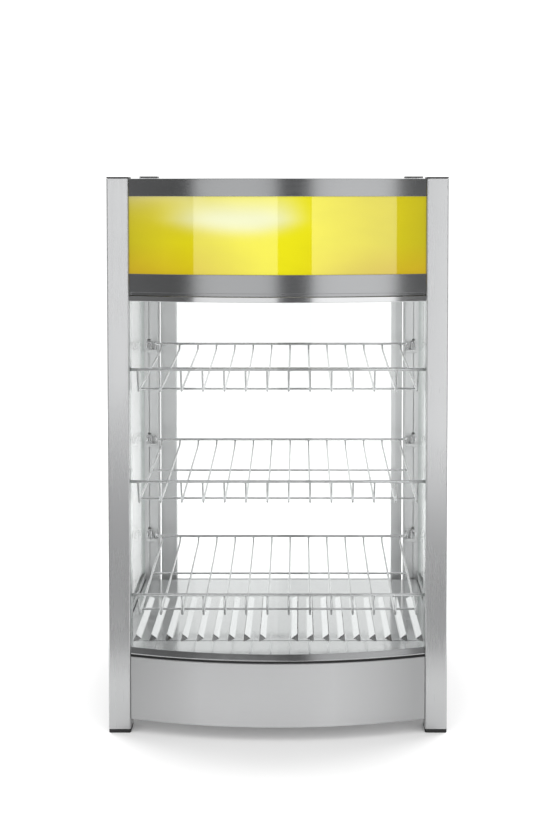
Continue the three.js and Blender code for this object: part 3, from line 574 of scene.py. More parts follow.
def subtract(bm, cutter):
    """bm minus cutter, both closed, by an exact boolean."""
    objects = []
    for b in (bm, cutter):
        bmesh.ops.recalc_face_normals(b, faces=b.faces[:])
        me = bpy.data.meshes.new("tmp")
        b.to_mesh(me)
        b.free()
        o = bpy.data.objects.new("tmp", me)
        bpy.context.scene.collection.objects.link(o)
        objects.append(o)
    body, tool = objects
    mod = body.modifiers.new("cut", "BOOLEAN")
    mod.operation, mod.solver, mod.object = "DIFFERENCE", "EXACT", tool
    dg = bpy.context.evaluated_depsgraph_get()
    dg.update()
    out = bmesh.new()
    out.from_mesh(body.evaluated_get(dg).to_mesh())
    for o in objects:
        me = o.data
        bpy.data.objects.remove(o)
        bpy.data.meshes.remove(me)
    bmesh.ops.remove_doubles(out, verts=out.verts[:], dist=1e-6)
    return out


def block(bm, x0, x1, y0, y1, z0, z1, mat=0):
    return run(bm, [(x0, z0), (x1, z0), (x1, z1), (x0, z1)], "y", y0, y1, mat)


def from_node(node, name, mat, bevel=0.3, segments=2, body="cabinet", pick=None):
    """The model's own solid with its flat faces joined up, its edges eased and a proper finish."""
    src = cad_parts[node].data
    bm = bmesh.new()
    bm.from_mesh(src)
    bmesh.ops.remove_doubles(bm, verts=bm.verts[:], dist=2e-6)
    bmesh.ops.dissolve_limit(bm, angle_limit=math.radians(0.6), verts=bm.verts[:], edges=bm.edges[:])
    for f in bm.faces:
        f.material_index = 0
    return finish_mesh(name, bm, body, mat, (node,), bevel, segments, pick=pick)


# ------------------------------------------------------------ posts, feet, caps
def rounded_square(x0, x1, y0, y1, r, n=6):
    return round_poly([(x0, y0), (x1, y0), (x1, y1), (x0, y1)], r, n)


def make_post(where, x0, y0, inner):
    """A square tube with its cut-outs. inner is +1 when the cabinet lies on the post's +X side."""
    bm = bmesh.new()
    top = HEIGHT + (REAR_RISE if y0 > 100 else 0)
    run(bm, rounded_square(x0, x0 + POST, y0, y0 + POST, POST_R), "z", FOOT_H + 0.3, top - CAP_H - 0.3)
    cutter = bmesh.new()
    w = POST_WALL
    run(cutter, rounded_square(x0 + w, x0 + POST - w, y0 + w, y0 + POST - w, POST_R - w), "z", 0, top + 5)
    bm = subtract(bm, cutter)
    cutter = bmesh.new()
    wall = x0 + POST if inner > 0 else x0
    if y0 < 100:
        for z in SHELVES.values():
            outline = round_poly([(9.4, z - 2.4), (14.6, z - 2.4), (14.6, z + 15), (9.4, z + 15)], 2.4, 5)
            run(cutter, outline, "x", wall - 3, wall + 3)
    else:
        cx = x0 + POST / 2
        run(cutter, [(cx - 0.4, 103), (cx + 0.4, 103), (cx + 0.4, 586), (cx - 0.4, 586)], "y", y0 - 1, y0 + w + 0.4)
        bm = subtract(bm, cutter)
        cutter = bmesh.new()
        for z, a in [(v + 0.4, 1.8) for v in SHELVES.values()] + [(102.6, 0.0)]:
            r = 1.1 if a else 2.0
            ring = [(cx + math.copysign(a, c) + r * c, z + r * math.sin(2 * math.pi * (k + 0.5) / 20)) for k in range(20) for c in [math.cos(2 * math.pi * (k + 0.5) / 20)]]
            run(cutter, ring, "y", y0 - 1, y0 + w + 0.4)
    bm = subtract(bm, cutter)
    if y0 < 100:
        mats, pick = M["post"], None
    else:  # the faces towards the inside are paler than the outer ones: painted light
        mats, pick = [M["inner_post"], M["outer_post"]], lambda f: 0 if f.normal.y < -0.5 or f.normal.x * inner > 0.5 else 1
    return finish_mesh("post_" + where + "_tube", bm, "cabinet", mats, ("post_" + where,), sharp=32, pick=pick)


corners = {
    "front_left": (-WIDTH / 2, 0.0, 1),
    "front_right": (WIDTH / 2 - POST, 0.0, -1),
    "rear_left": (-WIDTH / 2, REAR_POST_Y, 1),
    "rear_right": (WIDTH / 2 - POST, REAR_POST_Y, -1),
}
for where, (x0, y0, inner) in corners.items():
    make_post(where, x0, y0, inner)
    top = HEIGHT + (REAR_RISE if y0 > 100 else 0)
    for kind, z0, z1, p0, p1, mat, slot in (
        ("post_cap_", top - CAP_H, top, top - 14, top - CAP_H + 0.5, "cap", "black_plastic"),
        ("foot_", 0.0, FOOT_H, FOOT_H - 0.5, 18.0, "rubber", "rubber"),
    ):
        bm = bmesh.new()
        outer = rounded_square(x0 + 0.1, x0 + POST - 0.1, y0 + 0.1, y0 + POST - 0.1, POST_R, 6)
        n = len(outer)
        cx, cy = x0 + POST / 2, y0 + POST / 2
        # a plate with softened rims, standing on its plug
        levels = [(z0, 0.965), (z0 + 0.35, 0.99), (z0 + 0.8, 1.0), (z1 - 0.8, 1.0), (z1 - 0.3, 0.985), (z1, 0.95)]
        rings = [[bm.verts.new(P(cx + (x - cx) * s, cy + (y - cy) * s, z)) for x, y in outer] for z, s in levels]
        for a, b in zip(rings, rings[1:]):
            for k in range(n):
                bm.faces.new((a[k], a[(k + 1) % n], b[(k + 1) % n], b[k]))
        bm.faces.new(rings[0][::-1])
        bm.faces.new(rings[-1])
        i = POST_WALL + 0.4
        run(bm, rounded_square(x0 + i, x0 + POST - i, y0 + i, y0 + POST - i, 1.2, 4), "z", p0, p1)
        for k in range(3):  # grip ribs on the plug
            zz = p0 + 3 + k * 3 if kind == "foot_" else p0 + 2 + k * 3
            if kind == "foot_":
                zz = 7 + k * 3.2
            run(bm, rounded_square(x0 + i - 0.25, x0 + POST - i + 0.25, y0 + i - 0.25, y0 + POST - i + 0.25, 1.3, 4), "z", zz, zz + 0.8)
        finish_mesh(kind + where + "_moulding", bm, "cabinet", M[mat], (kind + where,), sharp=40)

# --------------------------------------------------------------- bowed front
def bowed_piece(name, profiles, mat, node, r=0.45, n=3, half=BOW_HALF, steps=72):
    bm = bmesh.new()
    for pr in profiles:
        bow_sweep(bm, round_poly(pr, r, n), half, steps)
    return finish_mesh(name, bm, "cabinet", mat, (node,), sharp=40)


# Folded sheet, its outer bends rounder than its cut edges.
bowed_piece(
    "base_fascia_sheet",
    [[(0, BASE_LOW), (0, FASCIA_TOP), (9, FASCIA_TOP), (9, FASCIA_TOP - SHEET), (SHEET, FASCIA_TOP - SHEET), (SHEET, BASE_LOW + SHEET), (14, BASE_LOW + SHEET), (14, BASE_LOW)]],
    M["fascia"], "base_front_fascia", [1.3, 1.3, 0.3, 0.3, 0.4, 0.4, 0.3, 0.3], 5,
)
bowed_piece("sill_gasket_strip", [[(2, 105.3), (2, 108.2), (10, 108.2), (10, 105.3)]], M["rubber"], "sill_gasket", 0.6)
# The channel has a small bead along its foot, which catches the light.
bowed_piece(
    "lower_glass_channel_trim",
    [[(0.1, CHANNEL_LOW), (0.1, CHANNEL_LOW + 1.2), (0.25, CHANNEL_LOW + 1.6), (3.0, CHANNEL_HIGH - 0.2), (3.15, CHANNEL_HIGH), (3.65, CHANNEL_HIGH), (2.3, CHANNEL_LOW + 2.2), (2.3, CHANNEL_LOW + 1.3), (9.7, CHANNEL_LOW + 1.3), (9.7, CHANNEL_LOW + 4.5), (11, CHANNEL_LOW + 4.5), (11, CHANNEL_LOW)]],
    M["sill"], "lower_glass_channel", 0.15, 2,
)
bowed_piece(
    "upper_glass_channel_trim",
    [[(1.0, HEAD_HIGH), (1.0, HEAD_LOW + 0.5), (1.4, HEAD_LOW), (2.3, HEAD_LOW), (2.3, HEAD_HIGH - 1.2), (9.7, HEAD_HIGH - 1.2), (9.7, HEAD_LOW), (11, HEAD_LOW), (11, HEAD_HIGH)]],
    M["polished"], "upper_glass_channel", 0.25, 3,
)
bowed_piece(
    "canopy_bottom_band_sheet",
    [[(0, BAND2_LOW), (0, BAND2_HIGH), (SHEET, BAND2_HIGH), (SHEET, BAND2_LOW + SHEET), (6.2, BAND2_LOW + SHEET), (6.2, HEAD_HIGH + 0.4 + SHEET), (14, HEAD_HIGH + 0.4 + SHEET), (14, HEAD_HIGH + 0.4), (5, HEAD_HIGH + 0.4), (5, BAND2_LOW)]],
    M["band"], "canopy_bottom_band", [0.5, 0.45, 0.3, 0.3, 0.3, 0.3, 0.3, 0.3, 0.5, 0.3], 4,
)
bowed_piece(
    "canopy_top_band_sheet",
    [[(0, BAND1_LOW), (0, BAND1_HIGH), (10, BAND1_HIGH), (10, BAND1_HIGH - SHEET), (SHEET, BAND1_HIGH - SHEET), (SHEET, BAND1_LOW)]],
    M["band"], "canopy_top_band", [0.4, 0.8, 0.3, 0.3, 0.3, 0.3], 4,
)
bowed_piece("sign_sheet", [[(SHEET + 0.4, 612), (SHEET + 0.4, 741), (SHEET + 3.4, 741), (SHEET + 3.4, 612)]], M["sign"], "sign_panel", 0.5, 3)

# ------------------------------------------------------------------------ glass
def glass_piece(name, bm, node, body="cabinet", clear="glass"):
    """Broad faces clear, cut edges faintly green."""
    bmesh.ops.recalc_face_normals(bm, faces=bm.faces[:])
    ob = finish_mesh(name, bm, body, [M[clear], M["glass_edge"]], (node,), sharp=40, weighted=False)
    return ob


bm = bmesh.new()
z0, z1, b0, b1, e = CHANNEL_LOW + 1.7, HEAD_HIGH - 1.6, 4.0, 8.0, 0.5
profile = [(b0 + e, z0), (b0, z0 + e), (b0, z1 - e), (b0 + e, z1), (b1 - e, z1), (b1, z1 - e), (b1, z0 + e), (b1 - e, z0)]
bow_sweep(bm, profile, BOW_HALF, 96)
n = len(profile)
for f in bm.faces:
    zs = [v.co.z for v in f.verts]
    if len(f.verts) > 4 or max(zs) - min(zs) < 0.2:
        f.material_index = 1
glass_piece("front_window", bm, "front_glass")


def flat_pane(name, x0, x1, y0, y1, z0, z1, node, body="cabinet", clear="glass"):
    bm = bmesh.new()
    e = 0.5
    if x1 - x0 < y1 - y0:
        outline = [(x0 + e, z0), (x1 - e, z0), (x1, z0 + e), (x1, z1 - e), (x1 - e, z1), (x0 + e, z1), (x0, z1 - e), (x0, z0 + e)]
        run(bm, outline, "y", y0, y1)
        broad = 0
    else:
        outline = [(y0 + e, z0), (y1 - e, z0), (y1, z0 + e), (y1, z1 - e), (y1 - e, z1), (y0 + e, z1), (y0, z1 - e), (y0, z0 + e)]
        run(bm, outline, "x", x0, x1)
        broad = 1
    bmesh.ops.recalc_face_normals(bm, faces=bm.faces[:])
    bm.normal_update()
    for f in bm.faces:
        f.material_index = 0 if abs(f.normal[broad]) > 0.9 else 1
    glass_piece(name, bm, node, body, clear)


for side, s in (("left", -1), ("right", 1)):
    xs = sorted((s * 227.0, s * 223.0))
    flat_pane("side_window_" + side, xs[0], xs[1], POST + 0.6, REAR_POST_Y - 0.6, 107.4, HEAD_LOW - 0.4, "side_glass_" + side, clear="side_glass")
flat_pane("door_window", -179.4, 185.9, 365, 369, 70.5 + 25 - 7.4, 588 - 25 + 7.4, "door_glass", "door")

# ------------------------------------------------------------------ louvred deck
FIRST, PITCH, RUN_X, RISE, LF, LB = 18.5, 22.1, 7.4, 5.4, 61.2, 259.0
SLOT, NOSE, LEAN = 9.0, 12.5, 5.0
deck_low = DECK_TOP - SHEET
bm = bmesh.new()
outline = [(-BOW_HALF + 2 * BOW_HALF * i / 64, bow_y(-BOW_HALF + 2 * BOW_HALF * i / 64, 3)) for i in range(65)]
outline += [(BOW_HALF, POST + 0.4), (SIDE_IN - 0.6, POST + 0.4), (SIDE_IN - 0.6, DECK_BACK), (-SIDE_IN + 0.6, DECK_BACK), (-SIDE_IN + 0.6, POST + 0.4), (-BOW_HALF, POST + 0.4)]
run(bm, outline, "z", deck_low, DECK_TOP)
cutter = bmesh.new()
for k in range(9):
    for s in (1, -1):
        a = FIRST + k * PITCH
        plan = round_poly([(s * a, LF + NOSE), (s * (a + SLOT), LF), (s * (a + SLOT), LB), (s * a, LB - NOSE)], 0.6, 3)
        run(cutter, plan, "z", deck_low - 1, DECK_TOP + 1)
bm = subtract(bm, cutter)
# the faint line pressed in along the ends of the openings
cutter = bmesh.new()
run(cutter, [(LF + 2.2, DECK_TOP + 0.5), (LF + 2.4, DECK_TOP - 0.5), (LF + 4.9, DECK_TOP - 0.5), (LF + 5.1, DECK_TOP + 0.5)], "x", -SIDE_IN + 6, SIDE_IN - 6)
bm = subtract(bm, cutter)
for f in bm.faces:  # the floor of the pressed line is painted dark: painted shade
    c = f.calc_center_median() * 1000
    if LF + 2.1 < c.y < LF + 5.2 and DECK_TOP - 0.55 < c.z < DECK_TOP - 0.1:
        f.material_index = 1
for s in (1, -1):
    xs = sorted((s * (SIDE_IN - 0.6), s * (SIDE_IN - 0.6 - SHEET)))
    block(bm, xs[0], xs[1], POST + 0.4, DECK_BACK, DECK_TOP - 14, deck_low)
# Blades: a small bend at the root, then nearly flat, the ends cut slanting.
section = [(-1.6, 0.0), (-0.9, 0.08), (-0.1, 0.38), (0.6, 0.82), (RUN_X * 0.5, RISE * 0.545), (RUN_X - 0.25, RISE - 0.2), (RUN_X, RISE)]
section += [(RUN_X + 0.35, RISE - 0.25), (RUN_X + 0.6, RISE - 0.95), (RUN_X * 0.5 + 0.62, RISE * 0.545 - 1.0), (1.2, -0.3), (0.5, -0.75), (-0.4, -1.1), (-1.6, -SHEET)]
for k in range(9):
    for s in (1, -1):
        a = FIRST + k * PITCH
        y0, y1 = LF + NOSE + 0.2, LB - NOSE - 0.2
        n = len(section)
        rows = []
        for t in (0.0, 0.33, 0.67, 1.0):
            row = []
            for u, v in section:
                inset = max(0.0, u) * LEAN / 14
                row.append(P(s * (a + u), (y0 + inset) * (1 - t) + (y1 - inset) * t, DECK_TOP + v))
            rows.append(row)
        verts = [v for row in rows for v in row]
        faces = []
        for i in range(3):
            for j in range(n):
                p, q = i * n + j, i * n + (j + 1) % n
                faces.append((p, q, q + n, p + n))
        faces.append(tuple(range(n - 1, -1, -1)))
        faces.append(tuple(3 * n + j for j in range(n)))
        add_faces(bm, verts, faces)
finish_mesh("deck_pressing", bm, "cabinet", [M["deck"], M["sheath"]], ("louvre_deck",), sharp=36)

# ------------------------------------------------------------------ wire shelves
WIRE_R, RAIL_R = 1.5, 2.0
LAST = 6.5 * 29.3


def floor_z(y, z):
    return z - 31.4 + (y - 23) * SLOPE


for level, z in SHELVES.items():
    bm = bmesh.new()
    for i in range(14):
        x = (i - 6.5) * 29.3
        path = fillet_path([(x, 13.4, z - 0.6), (x, 23, z - 31.4), (x, 300, floor_z(300, z)), (x, 306.4, z - 2.2)], 4.0, 5)
        tube(bm, path, WIRE_R, 10)
        for wx, wy, wz in ((x, 12.6, z - 0.7), (x, 49, floor_z(49, z) - 1.4), (x, 179, floor_z(179, z) - 1.4), (x, 306.8, z - 2.0)):
            ball(bm, (wx, wy, wz), 1.75, (1.15, 1.2, 0.8))
    tube(bm, [(-203, 12, z), (-100, 12, z), (100, 12, z), (203, 12, z)], RAIL_R, 16)
    tube(bm, [(-198, 307, z - 1.4), (0, 307, z - 1.4), (198, 307, z - 1.4)], RAIL_R, 16)
    for y in (49, 179):
        tube(bm, [(-LAST - 1, y, floor_z(y, z) - 2.6), (0, y, floor_z(y, z) - 2.6), (LAST + 1, y, floor_z(y, z) - 2.6)], WIRE_R, 12)
    for s in (-1, 1):
        path = fillet_path([(s * 196, 307, z - 1.4), (s * 203, 326, z - 2.0), (s * 204.4, 341.3, z - 3.0), (s * 204.4, 341.3, z - 15.4), (s * 210.9, 341.3, z - 15.4), (s * 210.9, 341.3, z - 3.0), (s * 217.2, 341.3, z - 3.0), (s * 217.2, 341.3, z - 11.0)], 2.6, 5)
        tube(bm, path, WIRE_R, 12)
    finish_mesh("shelf_" + level + "_wires", bm, "wire_shelf_" + level, M["chrome"], ("shelf_" + level,), sharp=60, weighted=False)
    for side, s in (("left", -1), ("right", 1)):
        bm = bmesh.new()
        outline = round_poly([(336, z - 20), (346.7, z - 20), (346.7, z - 2), (345.2, z - 2), (345.2, z - 18.5), (337.5, z - 18.5), (337.5, z - 14.5), (336, z - 14.5)], [1.4, 1.2, 0.4, 0.4, 0.6, 0.6, 0.4, 0.4], 4)
        xs = sorted((s * 200.9, s * 219.4))
        run(bm, outline, "x", xs[0], xs[1])
        finish_mesh("shelf_hook_" + level + "_" + side, bm, "cabinet", M["bracket"], ("shelf_bracket_" + level + "_" + side,), sharp=40)

# -------------------------------------------------------------- sheet-metal box
# The lips that rise over the deck take the paler steel on the inside, and so does the fold behind the deck: painted
# light over their shade.
for side, s in (("left", 1), ("right", -1)):
    from_node("base_side_panel_" + side, "base_side_sheet_" + side, [M["panel"], M["inner_post"]], pick=lambda f, s=s: 1 if f.normal.x * s > 0.5 or f.normal.z > 0.5 else 0)
    from_node("canopy_side_panel_" + side, "canopy_side_sheet_" + side, M["panel"])
from_node("base_rear_panel", "base_rear_sheet", [M["panel_x"], M["inner_post"]], pick=lambda f: 1 if f.normal.z > 0.5 or f.normal.y < -0.5 else 0)
from_node("base_bottom_plate", "base_bottom_sheet", M["base_floor"], 0.2, 1)
from_node("canopy_rear_panel", "canopy_rear_sheet", M["panel_x"])
from_node("canopy_lid", "canopy_lid_sheet", M["panel_x"], 0.2, 1)
from_node("ceiling_panel", "ceiling_sheet", M["deck"], 0.2, 1)

# -------------------------------------------------------------------- rear door
# The faces towards the cabinet take the paler door steel, the outward faces the darker outer steel: painted light.
for node, name, mat in (
    ("door_stile_hinge_side", "door_hinge_stile", "door"),
    ("door_stile_handle_side", "door_handle_stile", "door"),
    ("door_top_rail", "door_head_rail", "door_x"),
    ("door_bottom_rail", "door_foot_rail", "door_x"),
):
    from_node(node, name, [M[mat], M["outer_post"]], 0.45, 3, "door", lambda f: 1 if f.normal.y > 0.5 else 0)
for end in ("top", "bottom"):
    from_node("door_pivot_" + end, "door_pivot_plate_" + end, M["polished"], 0.25, 2)
from_node("magnetic_catch", "door_catch", M["black"], 0.8, 3)
bm = bmesh.new()
path = fillet_path([(-184.5, 376.3, 270), (-184.5, 400.3, 270), (-184.5, 400.3, 390), (-184.5, 376.3, 390)], 13, 10)
tube(bm, path, 4.7, 24, dome=False)
for z in (270, 390):
    lathe(bm, (-184.5, 376.35, z), (0, 1, 0), [(0, 0), (4.9, 0), (5.2, 0.4), (5.2, 1.6), (4.75, 2.2), (0, 2.2)], 32)
finish_mesh("door_pull", bm, "door", M["black"], ("door_handle",), sharp=45, weighted=False)

# ------------------------------------------------------------- heat and controls
bm = bmesh.new()
path = fillet_path([(-20, 336, 62), (-20, 292, 62), (-165, 292, 62), (-165, 86, 62), (-60, 86, 62), (-60, 240, 62), (60, 240, 62), (60, 86, 62), (165, 86, 62), (165, 292, 62), (20, 292, 62), (20, 336, 62)], 24, 9)
tube(bm, path, 3.8, 14)
for x in (-20, 20):
    lathe(bm, (x, 322, 62), (0, 1, 0), [(0, 0), (4.0, 0), (4.0, 9), (1.6, 9.5), (1.6, 14), (0, 14)], 20, 1)
for y in (120, 226):
    run(bm, round_poly([(-178, 21.6), (-176.6, 21.6), (-176.6, 57.2), (176.6, 57.2), (176.6, 21.6), (178, 21.6), (178, 58.6), (-178, 58.6)], [0.3, 0.3, 1.0, 1.0, 0.3, 0.3, 2.0, 2.0], 3), "y", y, y + 8, 2)
finish_mesh("heating_element_tube", bm, "cabinet", [M["sheath"], M["brass"], M["panel"]], ("heating_element",), sharp=40)

bm = bmesh.new()
run(bm, round_poly([(KNOB_X - 19, CONTROL_Z - 16), (KNOB_X + 19, CONTROL_Z - 16), (KNOB_X + 19, CONTROL_Z + 16), (KNOB_X - 19, CONTROL_Z + 16)], 2, 4), "y", 338, 371.4)
lathe(bm, (KNOB_X, 371, CONTROL_Z), (0, 1, 0), [(0, 0), (5, 0), (5, 2.5), (3.1, 2.5), (3.1, 14), (2.6, 14.4), (0, 14.4)], 28)
tube(bm, fillet_path([(KNOB_X - 6, 339, CONTROL_Z + 6), (KNOB_X - 6, 316, CONTROL_Z + 6), (KNOB_X - 6, 316, 88), (-101, 316, 90)], 8, 6), 0.9, 8)
tube(bm, [(-180, 316, 90), (-140, 316, 90), (-100, 316, 90)], 3.2, 14)
finish_mesh("thermostat_unit", bm, "cabinet", M["sheath"], ("thermostat_body",), sharp=40)

# Knob with a skirt, a fluted grip and a raised pointer.
bm = bmesh.new()
sides = 72
profile = [(3.2, 12.6), (3.2, 0.0), (17.2, 0.0), (18.0, 0.5), (18.0, 2.9), (17.4, 3.5), (15.6, 4.3), (14.9, 6.0), (14.2, 15.6), (13.6, 17.2), (12.2, 17.9), (6.0, 17.7), (0.0, 17.6)]
rings = []
for r, h in profile:
    if r == 0:
        rings.append([bm.verts.new(P(KNOB_X, 373.8 + h, CONTROL_Z))])
        continue
    ring = []
    for k in range(sides):
        a = 2 * math.pi * k / sides
        rr = r - (0.45 * (0.5 + 0.5 * math.cos(24 * a)) if 5.5 < h < 17 and r > 10 else 0)
        ring.append(bm.verts.new(P(KNOB_X + rr * math.sin(a), 373.8 + h, CONTROL_Z + rr * math.cos(a))))
    rings.append(ring)
for a, b in zip(rings, rings[1:]):
    for k in range(sides):
        k2 = (k + 1) % sides
        if len(b) == 1:
            bm.faces.new((a[k], b[0], a[k2]))
        else:
            bm.faces.new((a[k], b[k], b[k2], a[k2]))
bm.faces.new(rings[0])
run(bm, round_poly([(KNOB_X - 1.1, CONTROL_Z + 3), (KNOB_X + 1.1, CONTROL_Z + 3), (KNOB_X + 1.1, CONTROL_Z + 12.6), (KNOB_X - 1.1, CONTROL_Z + 12.6)], 0.8, 4), "y", 391.2, 392.4, 1)
run(bm, round_poly([(KNOB_X - 0.5, CONTROL_Z + 14.9), (KNOB_X + 0.5, CONTROL_Z + 14.9), (KNOB_X + 0.5, CONTROL_Z + 17.7), (KNOB_X - 0.5, CONTROL_Z + 17.7)], 0.2, 2), "y", 376.0, 378.0, 1)
finish_mesh("thermostat_dial_knob", bm, "knob", [M["black"], M["ink_white"]], ("thermostat_knob",), sharp=40)

for tag, x, mat in (("power", POWER_X, "red"), ("light", LIGHT_X, "white")):
    from_node(tag + "_switch_body", tag + "_switch_housing", M["black"], 0.5, 3)
    body = tag + "_rocker"
    bm = bmesh.new()
    tilt = math.radians(-8)
    face = [(-5, -6), (6.4, -11.1), (7.2, -10.3), (6.3, -6.0), (5.7, -2.0), (5.6, 0), (5.7, 2.0), (6.3, 6.0), (7.2, 10.3), (6.4, 11.1), (-5, 6)]
    turned = [(370 + y * math.cos(tilt) - z * math.sin(tilt), CONTROL_Z + y * math.sin(tilt) + z * math.cos(tilt)) for y, z in face]
    run(bm, turned, "x", x - 8.8, x + 8.8)
    tube(bm, [(x - 9.6, 370, CONTROL_Z), (x + 9.6, 370, CONTROL_Z)], 1.3, 12, dome=False)
    finish_mesh(tag + "_switch_key", bm, body, M[mat], (tag + "_switch_rocker",), bevel=0.35, segments=2, sharp=40)

bm = bmesh.new()
lathe(bm, (GLAND_X, PANEL_Y + 0.3, CONTROL_Z), (0, 1, 0), [(4.2, 0.0), (12.2, 0.0), (12.5, 0.4), (12.5, 5.4), (12.0, 6.0), (4.2, 6.0), (4.2, 0.0)], 6)
lathe(bm, (GLAND_X, PANEL_Y + 5, CONTROL_Z), (0, 1, 0), [(4.2, 0.0), (9.6, 0.0), (9.6, 9.6), (9.2, 10.2), (8.6, 13.0), (7.4, 13.9), (5.0, 14.0), (4.2, 13.4), (4.2, 0.0)], 36)
lathe(bm, (GLAND_X, 356, CONTROL_Z), (0, 1, 0), [(4.2, 0.0), (7.9, 0.0), (7.9, 20.0), (4.2, 20.0), (4.2, 0.0)], 32)
bmesh.ops.remove_doubles(bm, verts=bm.verts[:], dist=1e-7)
finish_mesh("mains_gland", bm, "cabinet", M["black"], ("cable_gland",), bevel=0, sharp=35)

# ---------------------------------------------------------------------- sign lamp
from_node("lamp_batten", "lamp_holder", M["white"], 0.8, 3)
bm = bmesh.new()
lathe(bm, (-148.6, 76, 622), (1, 0, 0), [(0, 0), (7.4, 0), (8, 0.6), (8, 12), (7.7, 12.6)], 32, 1)
lathe(bm, (-148.6, 76, 622), (1, 0, 0), [(7.7, 12.6), (7.8, 14), (7.8, 283), (7.7, 284.6)], 32, 0)
lathe(bm, (-148.6, 76, 622), (1, 0, 0), [(7.7, 284.6), (8, 285.2), (8, 296.6), (7.4, 297.2), (0, 297.2)], 32, 1)
bmesh.ops.remove_doubles(bm, verts=bm.verts[:], dist=1e-7)
finish_mesh("lamp_tube_glass", bm, "cabinet", [M["lamp"], M["polished"]], ("lamp_tube",), sharp=40, weighted=False)


# ------------------------------------------------------------------------- screws
def screw(bm, centre, normal, r=3.2, h=1.6):
    """A pan head with a round dip in its top."""
    n = Vector(normal).normalized()
    lathe(bm, centre, normal, [(r * 0.98, -0.3), (r, 0.25), (r * 0.94, h * 0.55), (r * 0.72, h * 0.9), (r * 0.42, h), (r * 0.40, h - 0.1), (r * 0.30, h - 0.7), (0, h - 0.8)], 24)


screw_sets = {
    "rear_sheet_screws": ([(x, PANEL_Y, z) for x in (-188, 188) for z in (26, 60)] + [(x, PANEL_Y, z) for x in (-188, 0, 188) for z in (604, 742)], (0, 1, 0)),
    "side_sheet_screws_left": ([(-SIDE_OUT, y, z) for y in (44, 333) for z in (32, 92, 604, 742)], (-1, 0, 0)),
    "side_sheet_screws_right": ([(SIDE_OUT, y, z) for y in (44, 333) for z in (32, 92, 604, 742)], (1, 0, 0)),
    "lid_screws": ([(x, y, 752.3) for x in (-200, 200) for y in (60, 190, 320)], (0, 0, 1)),
}
for name, (places, normal) in screw_sets.items():
    bm = bmesh.new()
    for c in places:
        r, h = (3.0, 1.25) if name.startswith("side") else (3.2, 1.4)
        screw(bm, c, normal, r, h)
    finish_mesh(name, bm, "cabinet", M["polished"], sharp=50, weighted=False)


# -------------------------------------------------------------- generic lettering
def lettering(name, text, size, frame_matrix, mat, body):
    cu = bpy.data.curves.new(name + "_font", "FONT")
    cu.body, cu.size, cu.extrude = text, size * 0.001, 0.00006
    cu.align_x, cu.align_y = "CENTER", "CENTER"
    cu.resolution_u = 4
    tmp = bpy.data.objects.new(name + "_font", cu)
    bpy.context.scene.collection.objects.link(tmp)
    dg = bpy.context.evaluated_depsgraph_get()
    dg.update()
    me = bpy.data.meshes.new_from_object(tmp.evaluated_get(dg))
    bpy.data.objects.remove(tmp)
    bpy.data.curves.remove(cu)
    me.transform(frame_matrix)
    me.name = name
    me.materials.clear()
    me.materials.append(mat)
    ob = bpy.data.objects.new(name, me)
    bpy.context.scene.collection.objects.link(ob)
    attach(ob, body)
    return ob


def facing_back(x, y, z):
    m = Matrix(((-1, 0, 0), (0, 0, 1), (0, 1, 0))).to_4x4()
    m.translation = P(x, y, z)
    return m


steps = ["0", "30", "40", "50", "60", "70", "80", "90"]
for i, t in enumerate(steps):
    a = math.radians(270.0 * i / (len(steps) - 1))
    lettering("dial_number_" + t, t, 4.4, facing_back(KNOB_X - 22.0 * math.sin(a), PANEL_Y + 0.05, CONTROL_Z + 21.6 * math.cos(a)), M["ink"], "cabinet")
tilt = math.radians(-8)
for tag, x, ink in (("power", POWER_X, "ink_white"), ("light", LIGHT_X, "ink")):
    for word, y0, z0, y1, z1 in (("I", 5.9, 3.0, 6.8, 8.4), ("O", 6.8, -8.4, 5.9, -3.0)):
        c0 = Vector((y0 * math.cos(tilt) - z0 * math.sin(tilt), y0 * math.sin(tilt) + z0 * math.cos(tilt)))
        c1 = Vector((y1 * math.cos(tilt) - z1 * math.sin(tilt), y1 * math.sin(tilt) + z1 * math.cos(tilt)))
        t = (c1 - c0).normalized()
        nrm = Vector((t.y, -t.x))
        mid = (c0 + c1) / 2 + nrm * 0.22
        m = Matrix(((-1, 0, 0), (0, t.x, nrm.x), (0, t.y, nrm.y))).to_4x4()
        m.translation = P(x, 370 + mid.x, CONTROL_Z + mid.y)
        lettering(tag + "_mark_" + ("on" if word == "I" else "off"), word, 6.0, m, M[ink], tag + "_rocker")

# ---------------------------------------------------------------- stage and light
def stage_plane(name, corners, mat):
    me = bpy.data.meshes.new(name)
    me.from_pydata([Vector(c) for c in corners], [], [tuple(range(len(corners)))])
    me.materials.append(mat)
    ob = bpy.data.objects.new(name, me)
    bpy.context.scene.collection.objects.link(ob)
    return ob


floor_mat, nt, nodes, links, p = material("floor_pale")
p.inputs["Base Color"].default_value = (0.87, 0.87, 0.87, 1)
p.inputs["Roughness"].default_value = 0.9
p.inputs["Specular IOR Level"].default_value = 0.1
p.inputs["Emission Color"].default_value = (1, 1, 1, 1)
p.inputs["Emission Strength"].default_value = 0.10
stage_plane("floor", [(-6, -0.47, 0), (6, -0.47, 0), (6, 7, 0), (-6, 7, 0)], floor_mat)

